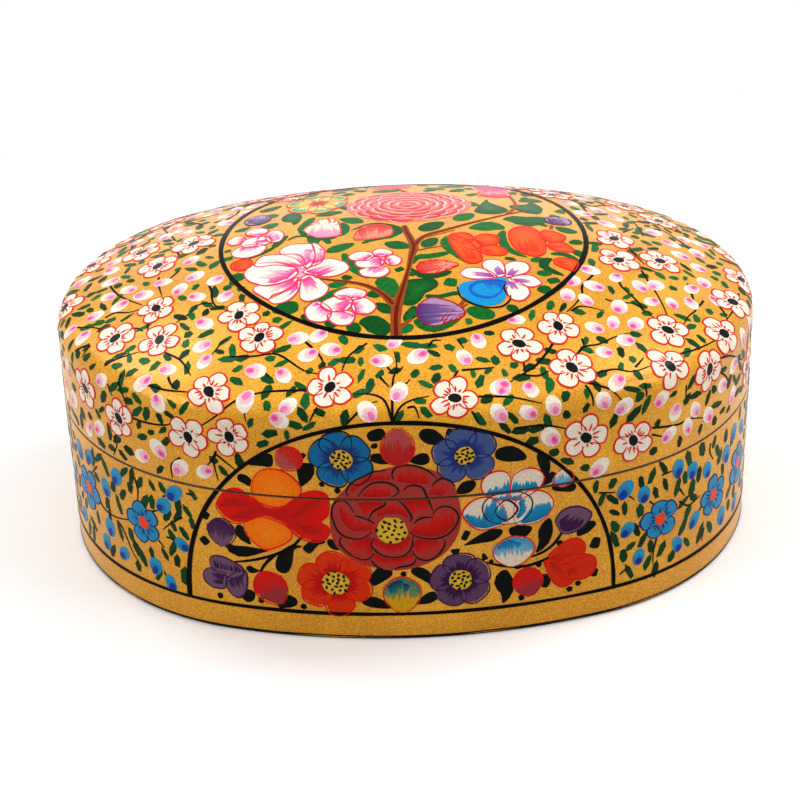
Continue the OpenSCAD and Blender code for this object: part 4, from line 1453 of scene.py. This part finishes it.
# Poppies and red flowers of the round picture, petal by petal
RED_PETALS = [
    [(12.8, -5.5), (13.2, -11), (14.8, -16.5), (17, -20.9), (19.6, -21.6), (21.6, -19.4),
     (21, -15), (18.5, -9), (16, -6)],
    [(12.9, -5.8), (14.5, -4.2), (17.5, -4), (19.4, -6.5), (18.6, -10), (15.5, -10.5)],
    [(20, -6.2), (22.5, -4.6), (25.6, -5.2), (26.6, -7.4), (25.4, -10.8), (22, -12),
     (20, -9.5)],
    [(21, -13.6), (23, -11), (26, -11.4), (28.3, -14.6), (27.4, -16.9), (24.5, -17.4),
     (21.8, -16.6)],
    [(16.6, -10.6), (18.4, -8), (21, -8.6), (22, -11.4), (20.4, -13.8), (17.6, -13.4)],
    [(29.5, -4.5), (30.4, -0.8), (33.2, 1.9), (36.3, 2.1), (38.6, -1.5), (39.6, -7),
     (39, -13.8), (36.5, -16.3), (33.8, -15.8), (31.2, -13.6), (29.8, -9.2)],
    [(38.4, -2.6), (40.5, 0.4), (44, -0.4), (46.2, -3), (44.6, -6.4), (41, -7),
     (39, -5.4)],
    [(40.4, -8.4), (43.6, -6.8), (46, -8.2), (47.4, -11.6), (45.2, -13), (42, -12.6),
     (40.4, -10.8)],
    [(41, -18), (43, -16.1), (45.6, -16.2), (48, -17.5), (46.5, -22.3), (44, -21.7),
     (41.8, -20.4)],
    [(-46, -9.6), (-48.8, -11.2), (-48.2, -14.6), (-45.4, -16.2), (-43, -14.4),
     (-43.2, -11)]]
RED_STREAKS = [
    ([(17.4, -19.6), (19.6, -19.4)], [(15.2, -11), (18.6, -10)], 6),
    ([(20.6, -10.2), (21.6, -11.4)], [(22.6, -6.4), (25.2, -8)], 6),
    ([(22, -14.6), (23, -16.2)], [(26.4, -13), (26.4, -15.6)], 5),
    ([(32.4, -13.8), (37.6, -13.8)], [(31.4, -4), (37.4, -3)], 10),
    ([(39.6, -4.4), (40.4, -6)], [(43.2, -1.8), (44.2, -4.4)], 5),
    ([(41, -9.4), (41, -11.6)], [(45, -9), (45.4, -11.6)], 5),
    ([(42.2, -18), (43, -20.4)], [(46, -17.4), (46, -20.4)], 5),
    ([(-48, -11.4), (-48, -14.2)], [(-43.4, -11), (-43.4, -14.6)], 8)]

# Shell-shaped buds: outline, tints of the tip and the foot, from, to, the line round it
SHELL_BUDS = [
    ([(-28.1, 4.2), (-26.2, 7.5), (-24.5, 10), (-21.5, 10.9), (-19.1, 10.2), (-18, 6.1),
      (-17.8, -1.5), (-20.8, -2.6), (-24.1, -2.2), (-26.6, 0.5)], "cream", "pink",
     [(-26.4, 0.6), (-22, -2), (-18.4, -1)], [(-25.6, 5), (-22, 4.4), (-18.6, 4)], "coral"),
    ([(-14, -5.4), (-13.4, -2), (-11.7, 1.8), (-9.8, 3.3), (-7, 3.3), (-4.5, 2.6),
      (-2.8, -0.9), (-3.5, -4.4), (-6, -5.6), (-9.8, -6.4), (-12.6, -6.3)], "salmon",
     "#D02420", [(-12.4, 0), (-8.4, 2.8), (-4, 1.4)], [(-12, -4.6), (-8.6, -3.4), (-4.6, -3)],
     "coral"),
    ([(3, -23.4), (4.6, -20.6), (8.1, -19.7), (11.3, -20.3), (14.6, -22.2),
      (11.2, -24.9), (8, -26.4), (4.8, -26.3), (3.3, -24.8)], "salmon", "#D02420",
     [(4.4, -21), (3.4, -23.6), (4.8, -25.8)], [(10, -21.2), (11.4, -22.6), (9, -24.8)],
     "scarlet"),
    ([(1.9, -43.4), (3.3, -40.7), (3.9, -39.2), (6.5, -37.5), (9.7, -38.3), (12.8, -40),
      (15.3, -43.2), (13.6, -45.7), (10.7, -46.8), (8.3, -48.1), (5.4, -48), (3.1, -46)],
     "#AC86B0", "#44206A", [(3.4, -40.4), (2.4, -43.4), (4.4, -47)],
     [(11, -40.6), (13.6, -43), (10.6, -46)], "crimson"),
    ([(-41.6, 21.8), (-45.4, 19.4), (-44.6, 15), (-41, 13.8), (-38, 16.4), (-38.6, 20)],
     "#AC86B0", "#3A1A5C", [(-44.4, 18), (-42, 14.4), (-39, 16)],
     [(-43, 20.4), (-41.4, 19), (-39.4, 19.6)], "plum_deep"),
    ([(45.2, 11.6), (41.6, 9.6), (42, 6), (45.6, 5.2), (48.8, 7.2), (48.4, 10.4)],
     "#AC86B0", "#3A1A5C", [(42.4, 9), (43.2, 6.4), (46, 5.8)],
     [(45, 11), (46.4, 9.6), (48, 8)], "plum_deep"),
    ([(23, 31), (25, 34), (29, 34.6), (32.6, 32), (32, 28.6), (28, 27.2), (24, 28.4)],
     "#F3A0A8", "magenta", [(24.6, 28.6), (28, 27.8), (31.6, 28.8)],
     [(25, 32), (28.4, 32.4), (31.4, 31)], "coral"),
    ([(-37, 36), (-36, 39.2), (-32.6, 39.8), (-30, 37.6), (-30.6, 34.4), (-34, 33)],
     "cream", "coral", [(-36, 35), (-33.6, 33.8), (-31.2, 35)],
     [(-35.4, 38), (-33.4, 37.6), (-31.6, 37.6)], "coral")]

BLUE_PETAL = [(27.4, -28.8), (23.3, -28.9), (19.2, -29.9), (15.5, -30.9), (13.8, -33.2),
              (14.9, -37), (17.6, -39.7), (20.8, -40.6), (24.2, -40), (26.3, -37.6),
              (27.1, -34.1), (27.8, -31.3)]

MEDALLION_BLOTS = [
    [(-34.8, 15.6), (-33, 19), (-30.4, 18.4), (-28.8, 15.6), (-29.6, 11), (-31.2, 9.2),
     (-32, 11.6), (-34, 12.6)],
    [(-1.4, -31.6), (0, -29.4), (4.2, -28.8), (7.3, -29), (8.5, -31.7), (6.6, -34.2),
     (4.7, -35.5), (3.5, -38), (1, -40.3), (-1.8, -39.3), (-0.7, -35.7)],
    [(1, -40.5), (2.6, -42), (2, -44.6), (-1.2, -46.3), (-1.6, -44)],
    [(31.6, 17.5), (33, 19.4), (36.4, 20.4), (38.5, 23), (41, 19.6), (41.2, 16.2),
     (39.6, 12.8), (36, 13.2), (33.4, 15)],
    [(21.2, 13.2), (24, 20.4), (25.4, 23.6), (26.3, 20.2), (31, 14.8), (28.4, 11),
     (24.6, 10.4), (22, 11.2)]]

# Leaves of the round picture: the brush's path, and its width on the way
MEDALLION_LEAVES = [
    ([(-48.5, 11.5), (-46, 11.6), (-43.8, 13)], [1, 2.8, 0.8]),
    ([(-40.9, 10.1), (-38, 10.8), (-35.7, 12)], [1.4, 4, 1.6]),
    ([(-39.5, 20.5), (-37.4, 19.3), (-35.6, 19)], [1.5, 3.6, 1.4]),
    ([(-41.5, 26), (-38.5, 26.5), (-35, 28.8)], [2, 4, 1.5]),
    ([(-25.2, 13), (-26.8, 10.4), (-29, 5.4), (-29.4, 4)], [1.6, 2.6, 2.4, 1.2]),
    ([(-29.6, 4.2), (-28, 1.2), (-25, -2), (-22, -3.5), (-19, -3.2)],
     [1.4, 2.2, 2.8, 2.2, 1.2]),
    ([(-33, -1.8), (-30.5, 0.2), (-27.5, -0.4), (-25.5, -2.6)], [0.9, 1.2, 1.2, 1.6]),
    ([(-27, -1.5), (-25.5, -3.8), (-25, -6.4)], [1.6, 3.4, 2.2]),
    ([(-22.5, -3), (-21.5, -5.4), (-21, -7)], [1.4, 2, 1.2]),
    ([(-22, -12), (-19.5, -10.8), (-16.6, -9.4), (-14, -8)], [1.8, 4.2, 3.6, 1.6]),
    ([(-17.5, 6.8), (-16.4, 4), (-16.6, -0.2), (-18.5, -2.6)], [1.4, 2.4, 2.2, 1]),
    ([(-32.9, 1.6), (-34.9, -1.4), (-36.9, -5.2)], [1.2, 2.4, 2.2]),
    ([(-36.6, -5), (-40, -7.8), (-44.2, -9.8)], [1.6, 1.4, 0.5]),
    ([(-51, -2.2), (-49, -2)], [1.6, 1.6]), ([(-51, -7.4), (-48.4, -7)], [2.2, 2.4]),
    ([(-48.9, -17.5), (-47, -18.9), (-45, -18.1)], [1.8, 5, 2.6]),
    ([(-49.2, -21.5), (-47.6, -21.6)], [2.2, 2.4]), ([(-46.8, -25.5), (-44.6, -25)], [2, 1.8]),
    ([(-37.1, -37.7), (-33.5, -37.2), (-29.8, -37.2)], [2, 5.5, 4.2]),
    ([(-29.3, -41), (-27.5, -41.8), (-26.6, -43)], [1.2, 3, 1.8]),
    ([(-23, -44.8), (-21, -45.2), (-20.3, -46.6)], [1.4, 3, 1.6]),
    ([(-17.1, -46.4), (-15.3, -47.3), (-13.4, -48.9)], [1.4, 4, 1.6]),
    ([(-28.5, -38.4), (-24.4, -35.6), (-20.4, -33), (-17, -32.1), (-15.4, -32.1)],
     [0.8, 2.2, 2.4, 2.6, 1.2]),
    ([(-22.1, -29.6), (-19.1, -29.4), (-16.2, -28.6)], [1.2, 3, 1.4]),
    ([(-17.5, -25.5), (-15.7, -27.6)], [1.6, 3.2]),
    ([(-17.2, -13.6), (-15.7, -18.4), (-13.8, -23.2), (-10.7, -27.6)], [2, 3.4, 3, 1.2]),
    ([(-8.8, -29.3), (-6, -30.6), (-3.4, -36.8)], [2.6, 6.4, 3]),
    ([(-11.3, -35), (-9, -34.8), (-6.9, -35.4)], [1.4, 3.4, 1.4]),
    ([(-9, -38.8), (-6.6, -40.8), (-4.4, -42.6)], [1.6, 3.6, 2]),
    ([(-13.7, -45.6), (-10.2, -46.2), (-5.7, -50)], [1.4, 6, 4.6]),
    ([(-11.8, -8.5), (-9.5, -6.8), (-5.6, -5.8), (-3, -4.4), (-0.6, 0)],
     [1.8, 1.6, 1.2, 2.2, 2.4]),
    ([(-14.8, 0.7), (-10.4, 3.7), (-7, 4.3), (-3.6, 2.8), (-0.6, 0)],
     [0.4, 1.4, 1.4, 1.6, 2.6]),
    ([(-2.6, 1.6), (-1.4, -1.2), (-2.4, -4)], [1.6, 3, 2]),
    ([(-18, 10), (-14.3, 8), (-11.2, 6)], [1, 4.6, 1.8]),
    ([(-25, 14.2), (-21.5, 14.8), (-17, 15.6)], [0.8, 3.6, 2]),
    ([(-5.5, -8.9), (-2.3, -10.4), (2, -12.2)], [1.6, 5, 1.8]),
    ([(-3, -24.8), (-0.8, -23.4)], [2, 2]), ([(1.2, -27.6), (1.6, -25.6)], [1.8, 1.8]),
    ([(4.6, -36.6), (8.5, -37), (12, -35.8), (14, -35.6)], [2, 1.6, 1.6, 2]),
    ([(1.6, -45.5), (3.5, -48.3), (6.4, -49.2), (9.8, -47.7), (13.6, -45.6)],
     [3.4, 2.4, 2.4, 2.8, 1.4]),
    ([(-2.2, -50.3), (-0.8, -48.7), (0.9, -47.9)], [1.6, 3, 1.4]),
    ([(11.4, -32.6), (12.4, -29)], [3.9, 3.2]),
    ([(1.8, -21.5), (3.1, -18), (6.4, -17.7), (10.2, -16.6), (12.9, -15.4)],
     [1.6, 2.6, 2.6, 2.4, 1.2]),
    ([(1.3, -23.6), (3, -26.6), (5.8, -27.7), (9.7, -26.9), (12.4, -25.6)],
     [1.2, 2.2, 2.6, 2.8, 1.8]),
    ([(4.7, -1.6), (8, 1), (11.7, 3.8)], [3.2, 5.5, 2.6]),
    ([(14.6, 5.6), (17.5, 7.4), (20.6, 10.5)], [2, 5, 2.4]),
    ([(18.7, -0.5), (22.5, 0.6), (25.5, 1.4), (29, -0.3)], [1.6, 5.6, 6, 2.6]),
    ([(5.1, -12.2), (7, -9.8), (9.2, -6.9)], [2, 4.4, 2]),
    ([(12.6, -5.6), (11.8, -9), (12.2, -13), (14.6, -17.6), (17, -21.6)],
     [1.4, 3.4, 3, 2, 1]),
    ([(15.5, -42.2), (19, -43.3), (23.1, -44.4)], [2.2, 5, 3]),
    ([(15, -46.8), (16.8, -46.4)], [2.4, 2]), ([(26.6, -40.4), (28, -41.4), (29.6, -42)],
                                               [1.8, 3, 2]),
    ([(36, -25.6), (38, -25.2), (40.3, -25)], [1.4, 3, 1.4]),
    ([(38.7, -29.2), (42, -27.7)], [2.4, 2.4]),
    ([(35.4, -33.4), (37.6, -33), (39.4, -33.6)], [1.6, 4, 1.8]),
    ([(41, -17.2), (39, -18.6), (38.2, -21.6), (40.6, -23.9), (43.6, -25.5)],
     [1.6, 3, 2.8, 2.2, 1.4]),
    ([(40.8, -14.6), (44, -13.8), (47, -15.4), (48.6, -17.4)], [1.6, 2.2, 2, 1]),
    ([(34.8, -19.3), (36.6, -18.4), (38, -17)], [1.4, 2.6, 1.2]),
    ([(27.6, -18.6), (29.4, -18.8), (30.6, -19.4)], [1.4, 1.8, 0.8]),
    ([(46.8, -6.6), (49, -5.4), (50.6, -4.4)], [1.6, 3.2, 2]),
    ([(47.2, -10.6), (49, -12.4), (50.2, -14)], [1.8, 3.4, 2.2]),
    ([(43.8, 3.6), (46.6, 2), (50, 1.6)], [1.6, 4, 1.8]),
    ([(38.4, 5.6), (40, 4.6), (41.6, 3.6)], [1, 1.8, 1.2]),
    ([(29, 6.8), (32.5, 7), (36, 6), (40, 8.4), (42, 10)], [2, 6, 7, 5, 2]),
    ([(28.7, -1.6), (27.5, -6.2), (28.6, -12.4), (31.2, -15.7), (34, -17.4)],
     [2.2, 3, 2.6, 2, 1]),
    ([(43, 12.8), (46, 11.4)], [2, 2]), ([(-17, 33), (-14, 36.4)], [2, 4]),
    ([(20, 28), (23, 31)], [3, 2]), ([(36, 28), (39, 26)], [3.4, 2]),
    ([(-30, 33), (-27, 36)], [3, 2]), ([(-6, 40), (-2, 40.4), (2, 42)], [2, 4, 2]),
    ([(8, 40), (11, 38.4), (14, 38)], [2, 4, 2]), ([(-20, 38), (-16, 40)], [2, 3]),
    ([(20, 38), (24, 40.4)], [3.4, 2]), ([(-10, 46.6), (-7, 48)], [2.4, 2]),
    ([(6, 47.6), (9, 46)], [2.6, 2]), ([(22, 17), (20, 21)], [3, 2]),
    ([(-17, 20), (-14.6, 17)], [3, 2]), ([(-24, 41.4), (-27, 42.6)], [3, 2]),
    ([(33, 32), (34.6, 35.4)], [3, 1.8]), ([(-8, 36), (-4, 36.8), (0, 36)], [2, 4.4, 2]),
    ([(12, 42), (16, 43.6), (20, 43)], [2, 4.6, 2]),
    ([(-20, 43.4), (-16, 45), (-12, 45)], [2, 4.4, 2]),
    ([(35, 23.6), (38.4, 25.6), (42, 25.4)], [2, 4.6, 2]),
    ([(38.4, 31), (37, 34.6)], [4, 2.4]), ([(-10, 38.4), (-13.4, 41)], [3.6, 2]),
    ([(15, 33.4), (17.6, 35.6), (18.4, 38.6)], [2, 4.2, 1.6]),
    ([(-3.4, 50), (1.4, 50.2)], [2.4, 2]), ([(46, 15.6), (47.2, 19)], [3.6, 2]),
    ([(-28, 40.4), (-25, 38.2)], [2, 3.4]), ([(10.4, 36.6), (7.4, 34.4)], [3.4, 2])]


def paint_cream_flowers(coat):
    """White flowers with pink hearts, outlined in coral."""
    for petal in CREAM_PETALS:
        blot(coat, petal, about(PETAL), tint("white"))
    first = 0
    for heart, count in CREAM_HEARTS:
        blot(coat, [(heart[0] + 2.4 * math.cos(i), heart[1] + 2.4 * math.sin(i))
                    for i in range(6)], PETAL - 0.014, tint("blush"))
        for petal in CREAM_PETALS[first:first + count]:
            middle = middle_of(petal)
            a, b = (middle + 0.86 * (np.asarray(near) - middle)
                    for near in sorted(petal, key=lambda point: math.dist(point, heart))[:2])
            spread = (a - b) * 0.8
            tips = [middle + spread, middle - spread]
            comb(coat, [a, b], tips, 9, 1.15, tint("pink"),
                 blend("white", "blush", 0.45), (0.8, 1.5), lift=SHADE - 0.014)
            comb(coat, [a, b], tips, 6, 0.75, tint("magenta"), tint("pink"), (0.35, 0.9),
                 lift=SHADE)
        first += count
    for name, foot, tips, count in CREAM_STREAKS:
        comb(coat, foot, tips, count + 2, 0.8, tint(name), blend(name, "blush", 0.5))
    for petal in CREAM_PETALS:
        pen_round(coat, petal, 0.48, tint("#E0355A"), 0.2)


def paint_red_flowers(coat):
    """Orange red flowers with deeper streaks from the edges of their petals."""
    for petal in RED_PETALS:
        blot(coat, petal, about(PETAL), tint("flame"), tint("#FF6A1C"))
    for foot, tips, count in RED_STREAKS:
        comb(coat, foot, tips, round(count * 1.5), 0.6, tint("#E42A10"), tint("#F84A1C"),
             (0.3, 1.0))
    for petal in RED_PETALS:
        pen_round(coat, petal, 0.4, tint("scarlet"), 0.4)


def paint_shell_buds(coat):
    """Buds in two tones that meet in a comb of streaks, with fine hairs at the brow."""
    for rim, low, high, foot, tips, ink in SHELL_BUDS:
        run = sum(math.dist(a, b) for a, b in zip(foot, foot[1:]))
        middle = middle_of(rim)
        outer = [middle + (np.asarray(point) - middle) * 1.16 for point in foot]
        blot(coat, rim, PETAL + 0.006, tint(low))
        comb(coat, outer, tips, round(run * 1.8), 0.9, tint(high),
             blend(high, low, 0.5), (0.55, 1.25))
        brow = sorted(rim, key=lambda point: -math.dist(point, foot[1]))[:6]
        brow.sort(key=lambda point: math.dist(point, foot[0]))
        comb(coat, brow, tips, 11, 0.4, tint(ink), None, (0.35, 0.7), lift=SHADE + 0.014)
        pen_round(coat, rim, 0.45, tint(ink), 0.3)


def paint_blue_petal(coat):
    """The blue lower petal of the pansy, with a deeper ring inside it."""
    blot(coat, BLUE_PETAL, PETAL, tint("#1690D0"))
    ring = [(21.5 + 4.4 * math.cos(i), -34 + 3.4 * math.sin(i)) for i in range(6)]
    pen_round(coat, ring, 1.1, tint("#1560C0"), 0.2)
    comb(coat, [(21, -29.9), (24.4, -29.5), (27, -30.2)], [(22.4, -35.6), (24, -36), (25.6, -35)],
         11, 0.9, tint("#1B3FA8"), tint("#1A7FD4"), (0.35, 0.95))
    pen(coat, [(13.6, -32.8), (14.2, -37), (17, -39.8), (20.9, -41.3), (25, -40.9),
               (27.4, -38.5), (28, -36)], 0.6, tint("black"))
    pen(coat, [(27.2, -30.6), (26.3, -33), (27, -35.8), (28, -37.4)], 0.5, tint("black"))


def paint_peony(coat, x, y, reach, high, fill_name, arc_name):
    """A full flower: a pale disc and ring upon ring of short scalloped arcs."""
    disc = [(x + reach * math.cos(i * 0.7) * wobble(0.07),
             y + high * math.sin(i * 0.7) * wobble(0.07)) for i in range(9)]
    blot(coat, disc, PETAL, tint(fill_name))
    for ring in range(6):
        share = 0.97 - ring * 0.165
        count = 13 - 2 * ring
        begin = hand.uniform(0, 2 * math.pi)
        for i in range(count):
            turn = begin + 2 * math.pi * i / count + hand.uniform(-0.08, 0.08)
            half = math.pi / count * wobble(0.15)
            out = share * wobble(0.04)
            arc = [(x + reach * out * math.cos(turn + a * half) * (1 - 0.15 * abs(a)),
                    y + high * out * math.sin(turn + a * half) * (1 - 0.15 * abs(a)))
                   for a in (-1, -0.45, 0.45, 1)]
            bold = 1.0 + 0.7 * max(-math.sin(turn), 0)
            coat.stroke(arc, [0.3, bold * wobble(0.3), bold * wobble(0.3), 0.3],
                        SHADE + ring * 0.002, tint(arc_name),
                        blend(arc_name, fill_name, 0.15), steps=8)
            edge = [(px + 0.9 * math.cos(turn), py + 0.9 * math.sin(turn)) for px, py in arc]
            coat.stroke(edge, [0.2, 0.6, 0.6, 0.2], SHADE - 0.006,
                        blend(fill_name, "white", 0.6), steps=8)


def paint_bright_flower(coat, x, y):
    """The flower whose petals run from teal at the tip through yellow to a red heart."""
    spot = coat.spot(x, y, 10)
    for i in range(6):
        petal = turned(spot, 60 * i + hand.uniform(-6, 6))
        rim = petal_rim(9.4 * wobble(0.06), 8.6 * wobble(0.05), 14, 0.45, 0.03)
        coat.fill(petal, rim, about(PETAL), tint("#E8C040"), tint("#F0D468"), (0, 4))
        comb(coat, [(-3, 8.2), (0, 9), (3, 8.2)], [(-1.8, 5.4), (0, 5), (1.8, 5.4)], 9, 0.8,
             tint("#2E9A8C"), tint("#6AB48C"), (0.5, 1.0), petal)
        comb(coat, [(-0.8, 1), (0.8, 1)], [(-1.9, 4.6), (1.9, 4.6)], 5, 0.8, tint("scarlet"),
             tint("coral"), (0.5, 1.0), petal)
        line = along_rim(rim, -0.34, 0.34, 9)
        pen(coat, line, 0.4, tint("scarlet"), spot=petal)
    coat.fill(spot, oval_rim(3.6, 3.2, 10), EYE, tint("crimson"))


def paint_medallion():
    """The round picture on the lid: a tree that carries many kinds of flower."""
    leaves, boughs, flowers = Coat(dome), Coat(dome), Coat(dome)
    for points, widths in MEDALLION_LEAVES:
        press(leaves, points, widths, blend("grass", "grass_deep", hand.random()))
    for rim in MEDALLION_BLOTS:
        blot(leaves, rim, LEAF + 0.01, tint("grass_deep"), tint("grass"))
    for points, widths in [TRUNK] + BOUGHS:
        boughs.stroke(points, widths, BRANCH, tint("bark"), steps=5 * len(points))
        if widths[0] > 1.5:
            boughs.stroke(points, [w * 0.36 for w in widths], BRANCH + 0.02,
                          tint("bark_deep"), steps=5 * len(points))
    paint_peony(flowers, 2, 19, 17.6, 14.6, "#EE7470", "#CC1420")
    paint_peony(flowers, -2, 44, 6.4, 4.6, "peony", "coral")
    paint_peony(flowers, 28, 40, 5.6, 4.8, "blush", "magenta")
    paint_bright_flower(flowers, -24, 26)
    paint_cream_flowers(flowers)
    paint_red_flowers(flowers)
    paint_shell_buds(flowers)
    paint_blue_petal(flowers)
    lay(leaves, "medallion_leaves", "lid", LEAF_PAINT)
    lay(boughs, "medallion_boughs", "lid", LINE_PAINT)
    lay(flowers, "medallion_flowers", "lid", FLOWER_PAINT)


# Points of a ruled curve in half a turn
HALF_TURN = 48


def paint_rules():
    """The black lines that the painter drew first, the foot rule, arches and ring, and a black
    band round the very foot.
    """
    rules = Coat(outside)
    half = ROUND / 2
    for height in (RULE_HEIGHT, FOOT_LINE):
        rules.stroke([(-half, height), (half, height)],
                     [1.0 * wobble(0.14) for _ in range(60)], LINE, tint("black"), steps=280)
    for start in (0.0, half):
        points = []
        for i in range(HALF_TURN + 1):
            turn = math.pi * i / HALF_TURN
            across = math.copysign(abs(math.cos(turn))**(2 / ARCH_POWER), math.cos(turn))
            up = math.sin(turn)**(2 / ARCH_POWER)
            points.append((start + ARCH_MIDDLE - ARCH_HALF_WIDTH * across,
                           RULE_HEIGHT + (ARCH_TOP - RULE_HEIGHT) * up))
        widths = [through([[1.5], [1.1], [1.1], [1.15]], i / (HALF_TURN - 1))[0] * wobble(0.12)
                  for i in range(HALF_TURN)]
        rules.stroke(points, widths, LINE, tint("black"), steps=160)
    lay_both(rules, "rules", LINE_PAINT)
    ring = Coat(dome)
    turns = [math.pi * i / HALF_TURN for i in range(2 * HALF_TURN + 1)]
    points = [(RING_RADIUS * math.cos(turn), RING_RADIUS * math.sin(turn)) for turn in turns]
    ring.stroke(points, [1.45 * wobble(0.12) for _ in range(41)], LINE, tint("black"), steps=240)
    lay(ring, "lid_ring", "lid", LINE_PAINT)


paint_ground()
paint_lunette()
paint_medallion()
paint_rules()


# Camera, light and floor

CAMERA_DISTANCE = 700 * MM
CAMERA_AZIMUTH = math.radians(-1.2)
CAMERA_ELEVATION = math.radians(28.15)
CAMERA_ROLL = math.radians(-1.72)
CAMERA_AIM = Vector((-2.3, 0, 34.8)) * MM
LENS_MM = 106.6
CLIP_START = 10 * MM
# Where the softboxes look
LAMP_AIM = Vector((0, 0, 50)) * MM
# Name, azimuth, elevation, distance, width and height in metres, and watts
SOFTBOXES = [
    ("left_softbox", -127, 48, 0.9, 0.34, 0.26, 2.2),
    ("right_softbox", 104, 52, 0.9, 0.30, 0.26, 3.2),
    ("top_softbox", 0, 84, 1.0, 0.9, 0.9, 2.2),
    ("left_fill", -68, 30, 1.1, 0.6, 0.5, 4.4),
    ("right_fill", 68, 30, 1.1, 0.6, 0.5, 3.9),
    ("back_strip", 180, 14, 0.9, 0.7, 0.12, 0.55)]
# Strength of the white world on the box itself
WORLD_LIGHT = 0.38
FLOOR_RADIUS = 6.0
# How far from the middle the floor starts to turn white, and where it is white
FADE_START = 130 * MM
FADE_END = 330 * MM


def camera_axes(azimuth, elevation):
    """Right, up and backward directions of a level camera."""
    back = Vector((math.sin(azimuth) * math.cos(elevation),
                   -math.cos(azimuth) * math.cos(elevation), math.sin(elevation)))
    right = Vector((math.cos(azimuth), math.sin(azimuth), 0))
    return right, back.cross(right), back


def turned_object(data, name, right, up, back, place):
    """Makes a camera or lamp an object of the scene, turned to those directions."""
    made = bpy.data.objects.new(name, data)
    made.matrix_world = Matrix((
        (right.x, up.x, back.x, place.x),
        (right.y, up.y, back.y, place.y),
        (right.z, up.z, back.z, place.z),
        (0, 0, 0, 1)))
    bpy.context.scene.collection.objects.link(made)
    return made


def add_camera():
    """The camera that took the photo, as fitted to it."""
    right, up, back = camera_axes(CAMERA_AZIMUTH, CAMERA_ELEVATION)
    data = bpy.data.cameras.new("camera")
    data.lens = LENS_MM
    data.clip_start = CLIP_START
    aim = right * CAMERA_AIM.x + Vector((0, 0, CAMERA_AIM.z))
    tilted_right = right * math.cos(CAMERA_ROLL) + up * math.sin(CAMERA_ROLL)
    tilted_up = up * math.cos(CAMERA_ROLL) - right * math.sin(CAMERA_ROLL)
    bpy.context.scene.camera = turned_object(
        data, "camera", tilted_right, tilted_up, back, aim + back * CAMERA_DISTANCE)


def add_softbox(name, azimuth, elevation, distance, width, height, watts):
    """An area lamp that looks at the box from that direction."""
    right, up, back = camera_axes(math.radians(azimuth), math.radians(elevation))
    data = bpy.data.lights.new(name, "AREA")
    data.shape = "RECTANGLE"
    data.size = width
    data.size_y = height
    data.energy = watts
    turned_object(data, name, right, up, back, LAMP_AIM + back * distance)


def white_seen(material):
    """One for the rays that see the background itself, nought for those that light."""
    path = node(material, "ShaderNodeLightPath")
    seen = node(material, "ShaderNodeMath", {"operation": "MAXIMUM"},
                {0: path.outputs["Is Camera Ray"], 1: path.outputs["Is Glossy Ray"]})
    seen = node(material, "ShaderNodeMath", {"operation": "MAXIMUM"},
                {0: seen.outputs[0], 1: path.outputs["Is Transmission Ray"]})
    return seen.outputs[0]


def add_world():
    """White where the background itself is seen, and a softer light on the box."""
    world = bpy.data.worlds.new("studio")
    world.use_nodes = True
    world.node_tree.nodes.clear()
    strength = node(world, "ShaderNodeMapRange",
                    {"To Min": WORLD_LIGHT, "To Max": 1.0}, {"Value": white_seen(world)})
    background = node(world, "ShaderNodeBackground", {"Color": (1, 1, 1, 1)},
                      {"Strength": strength.outputs[0]})
    output = node(world, "ShaderNodeOutputWorld")
    world.node_tree.links.new(background.outputs[0], output.inputs["Surface"])
    bpy.context.scene.world = world


def add_floor():
    """A floor of seamless white paper. It takes the box's shadow nearby, and further off
    it shows plain white, like the background, to the camera and in reflections."""
    material = new_material("seamless_paper")
    far = node(material, "ShaderNodeVectorMath", {"operation": "LENGTH"},
               {0: object_place(material)})
    fade = node(material, "ShaderNodeMapRange",
                {"From Min": FADE_START, "From Max": FADE_END,
                 "interpolation_type": "SMOOTHSTEP"},
                {"Value": far.outputs["Value"]})
    white_rays = white_seen(material)
    seen = node(material, "ShaderNodeMath", {"operation": "MULTIPLY"},
                {0: white_rays, 1: fade.outputs[0]})
    tone = node(material, "ShaderNodeMix",
                {"data_type": "RGBA", 6: linear("#B8B4AE"), 7: linear("#FFFFFF")},
                {0: white_rays})
    paper = node(material, "ShaderNodeBsdfDiffuse", links={"Color": tone.outputs[2]})
    white = node(material, "ShaderNodeEmission", {"Color": (1, 1, 1, 1), "Strength": 1.0})
    both = node(material, "ShaderNodeMixShader",
                links={0: seen.outputs[0], 1: paper.outputs[0], 2: white.outputs[0]})
    output = node(material, "ShaderNodeOutputMaterial")
    material.node_tree.links.new(both.outputs[0], output.inputs["Surface"])
    floor = bmesh.new()
    bmesh.ops.create_circle(floor, cap_ends=True, segments=64, radius=FLOOR_RADIUS)
    add_object(floor, "floor", [material])


add_camera()
for numbers in SOFTBOXES:
    add_softbox(*numbers)
add_world()
add_floor()
bpy.context.scene.view_settings.view_transform = "Standard"
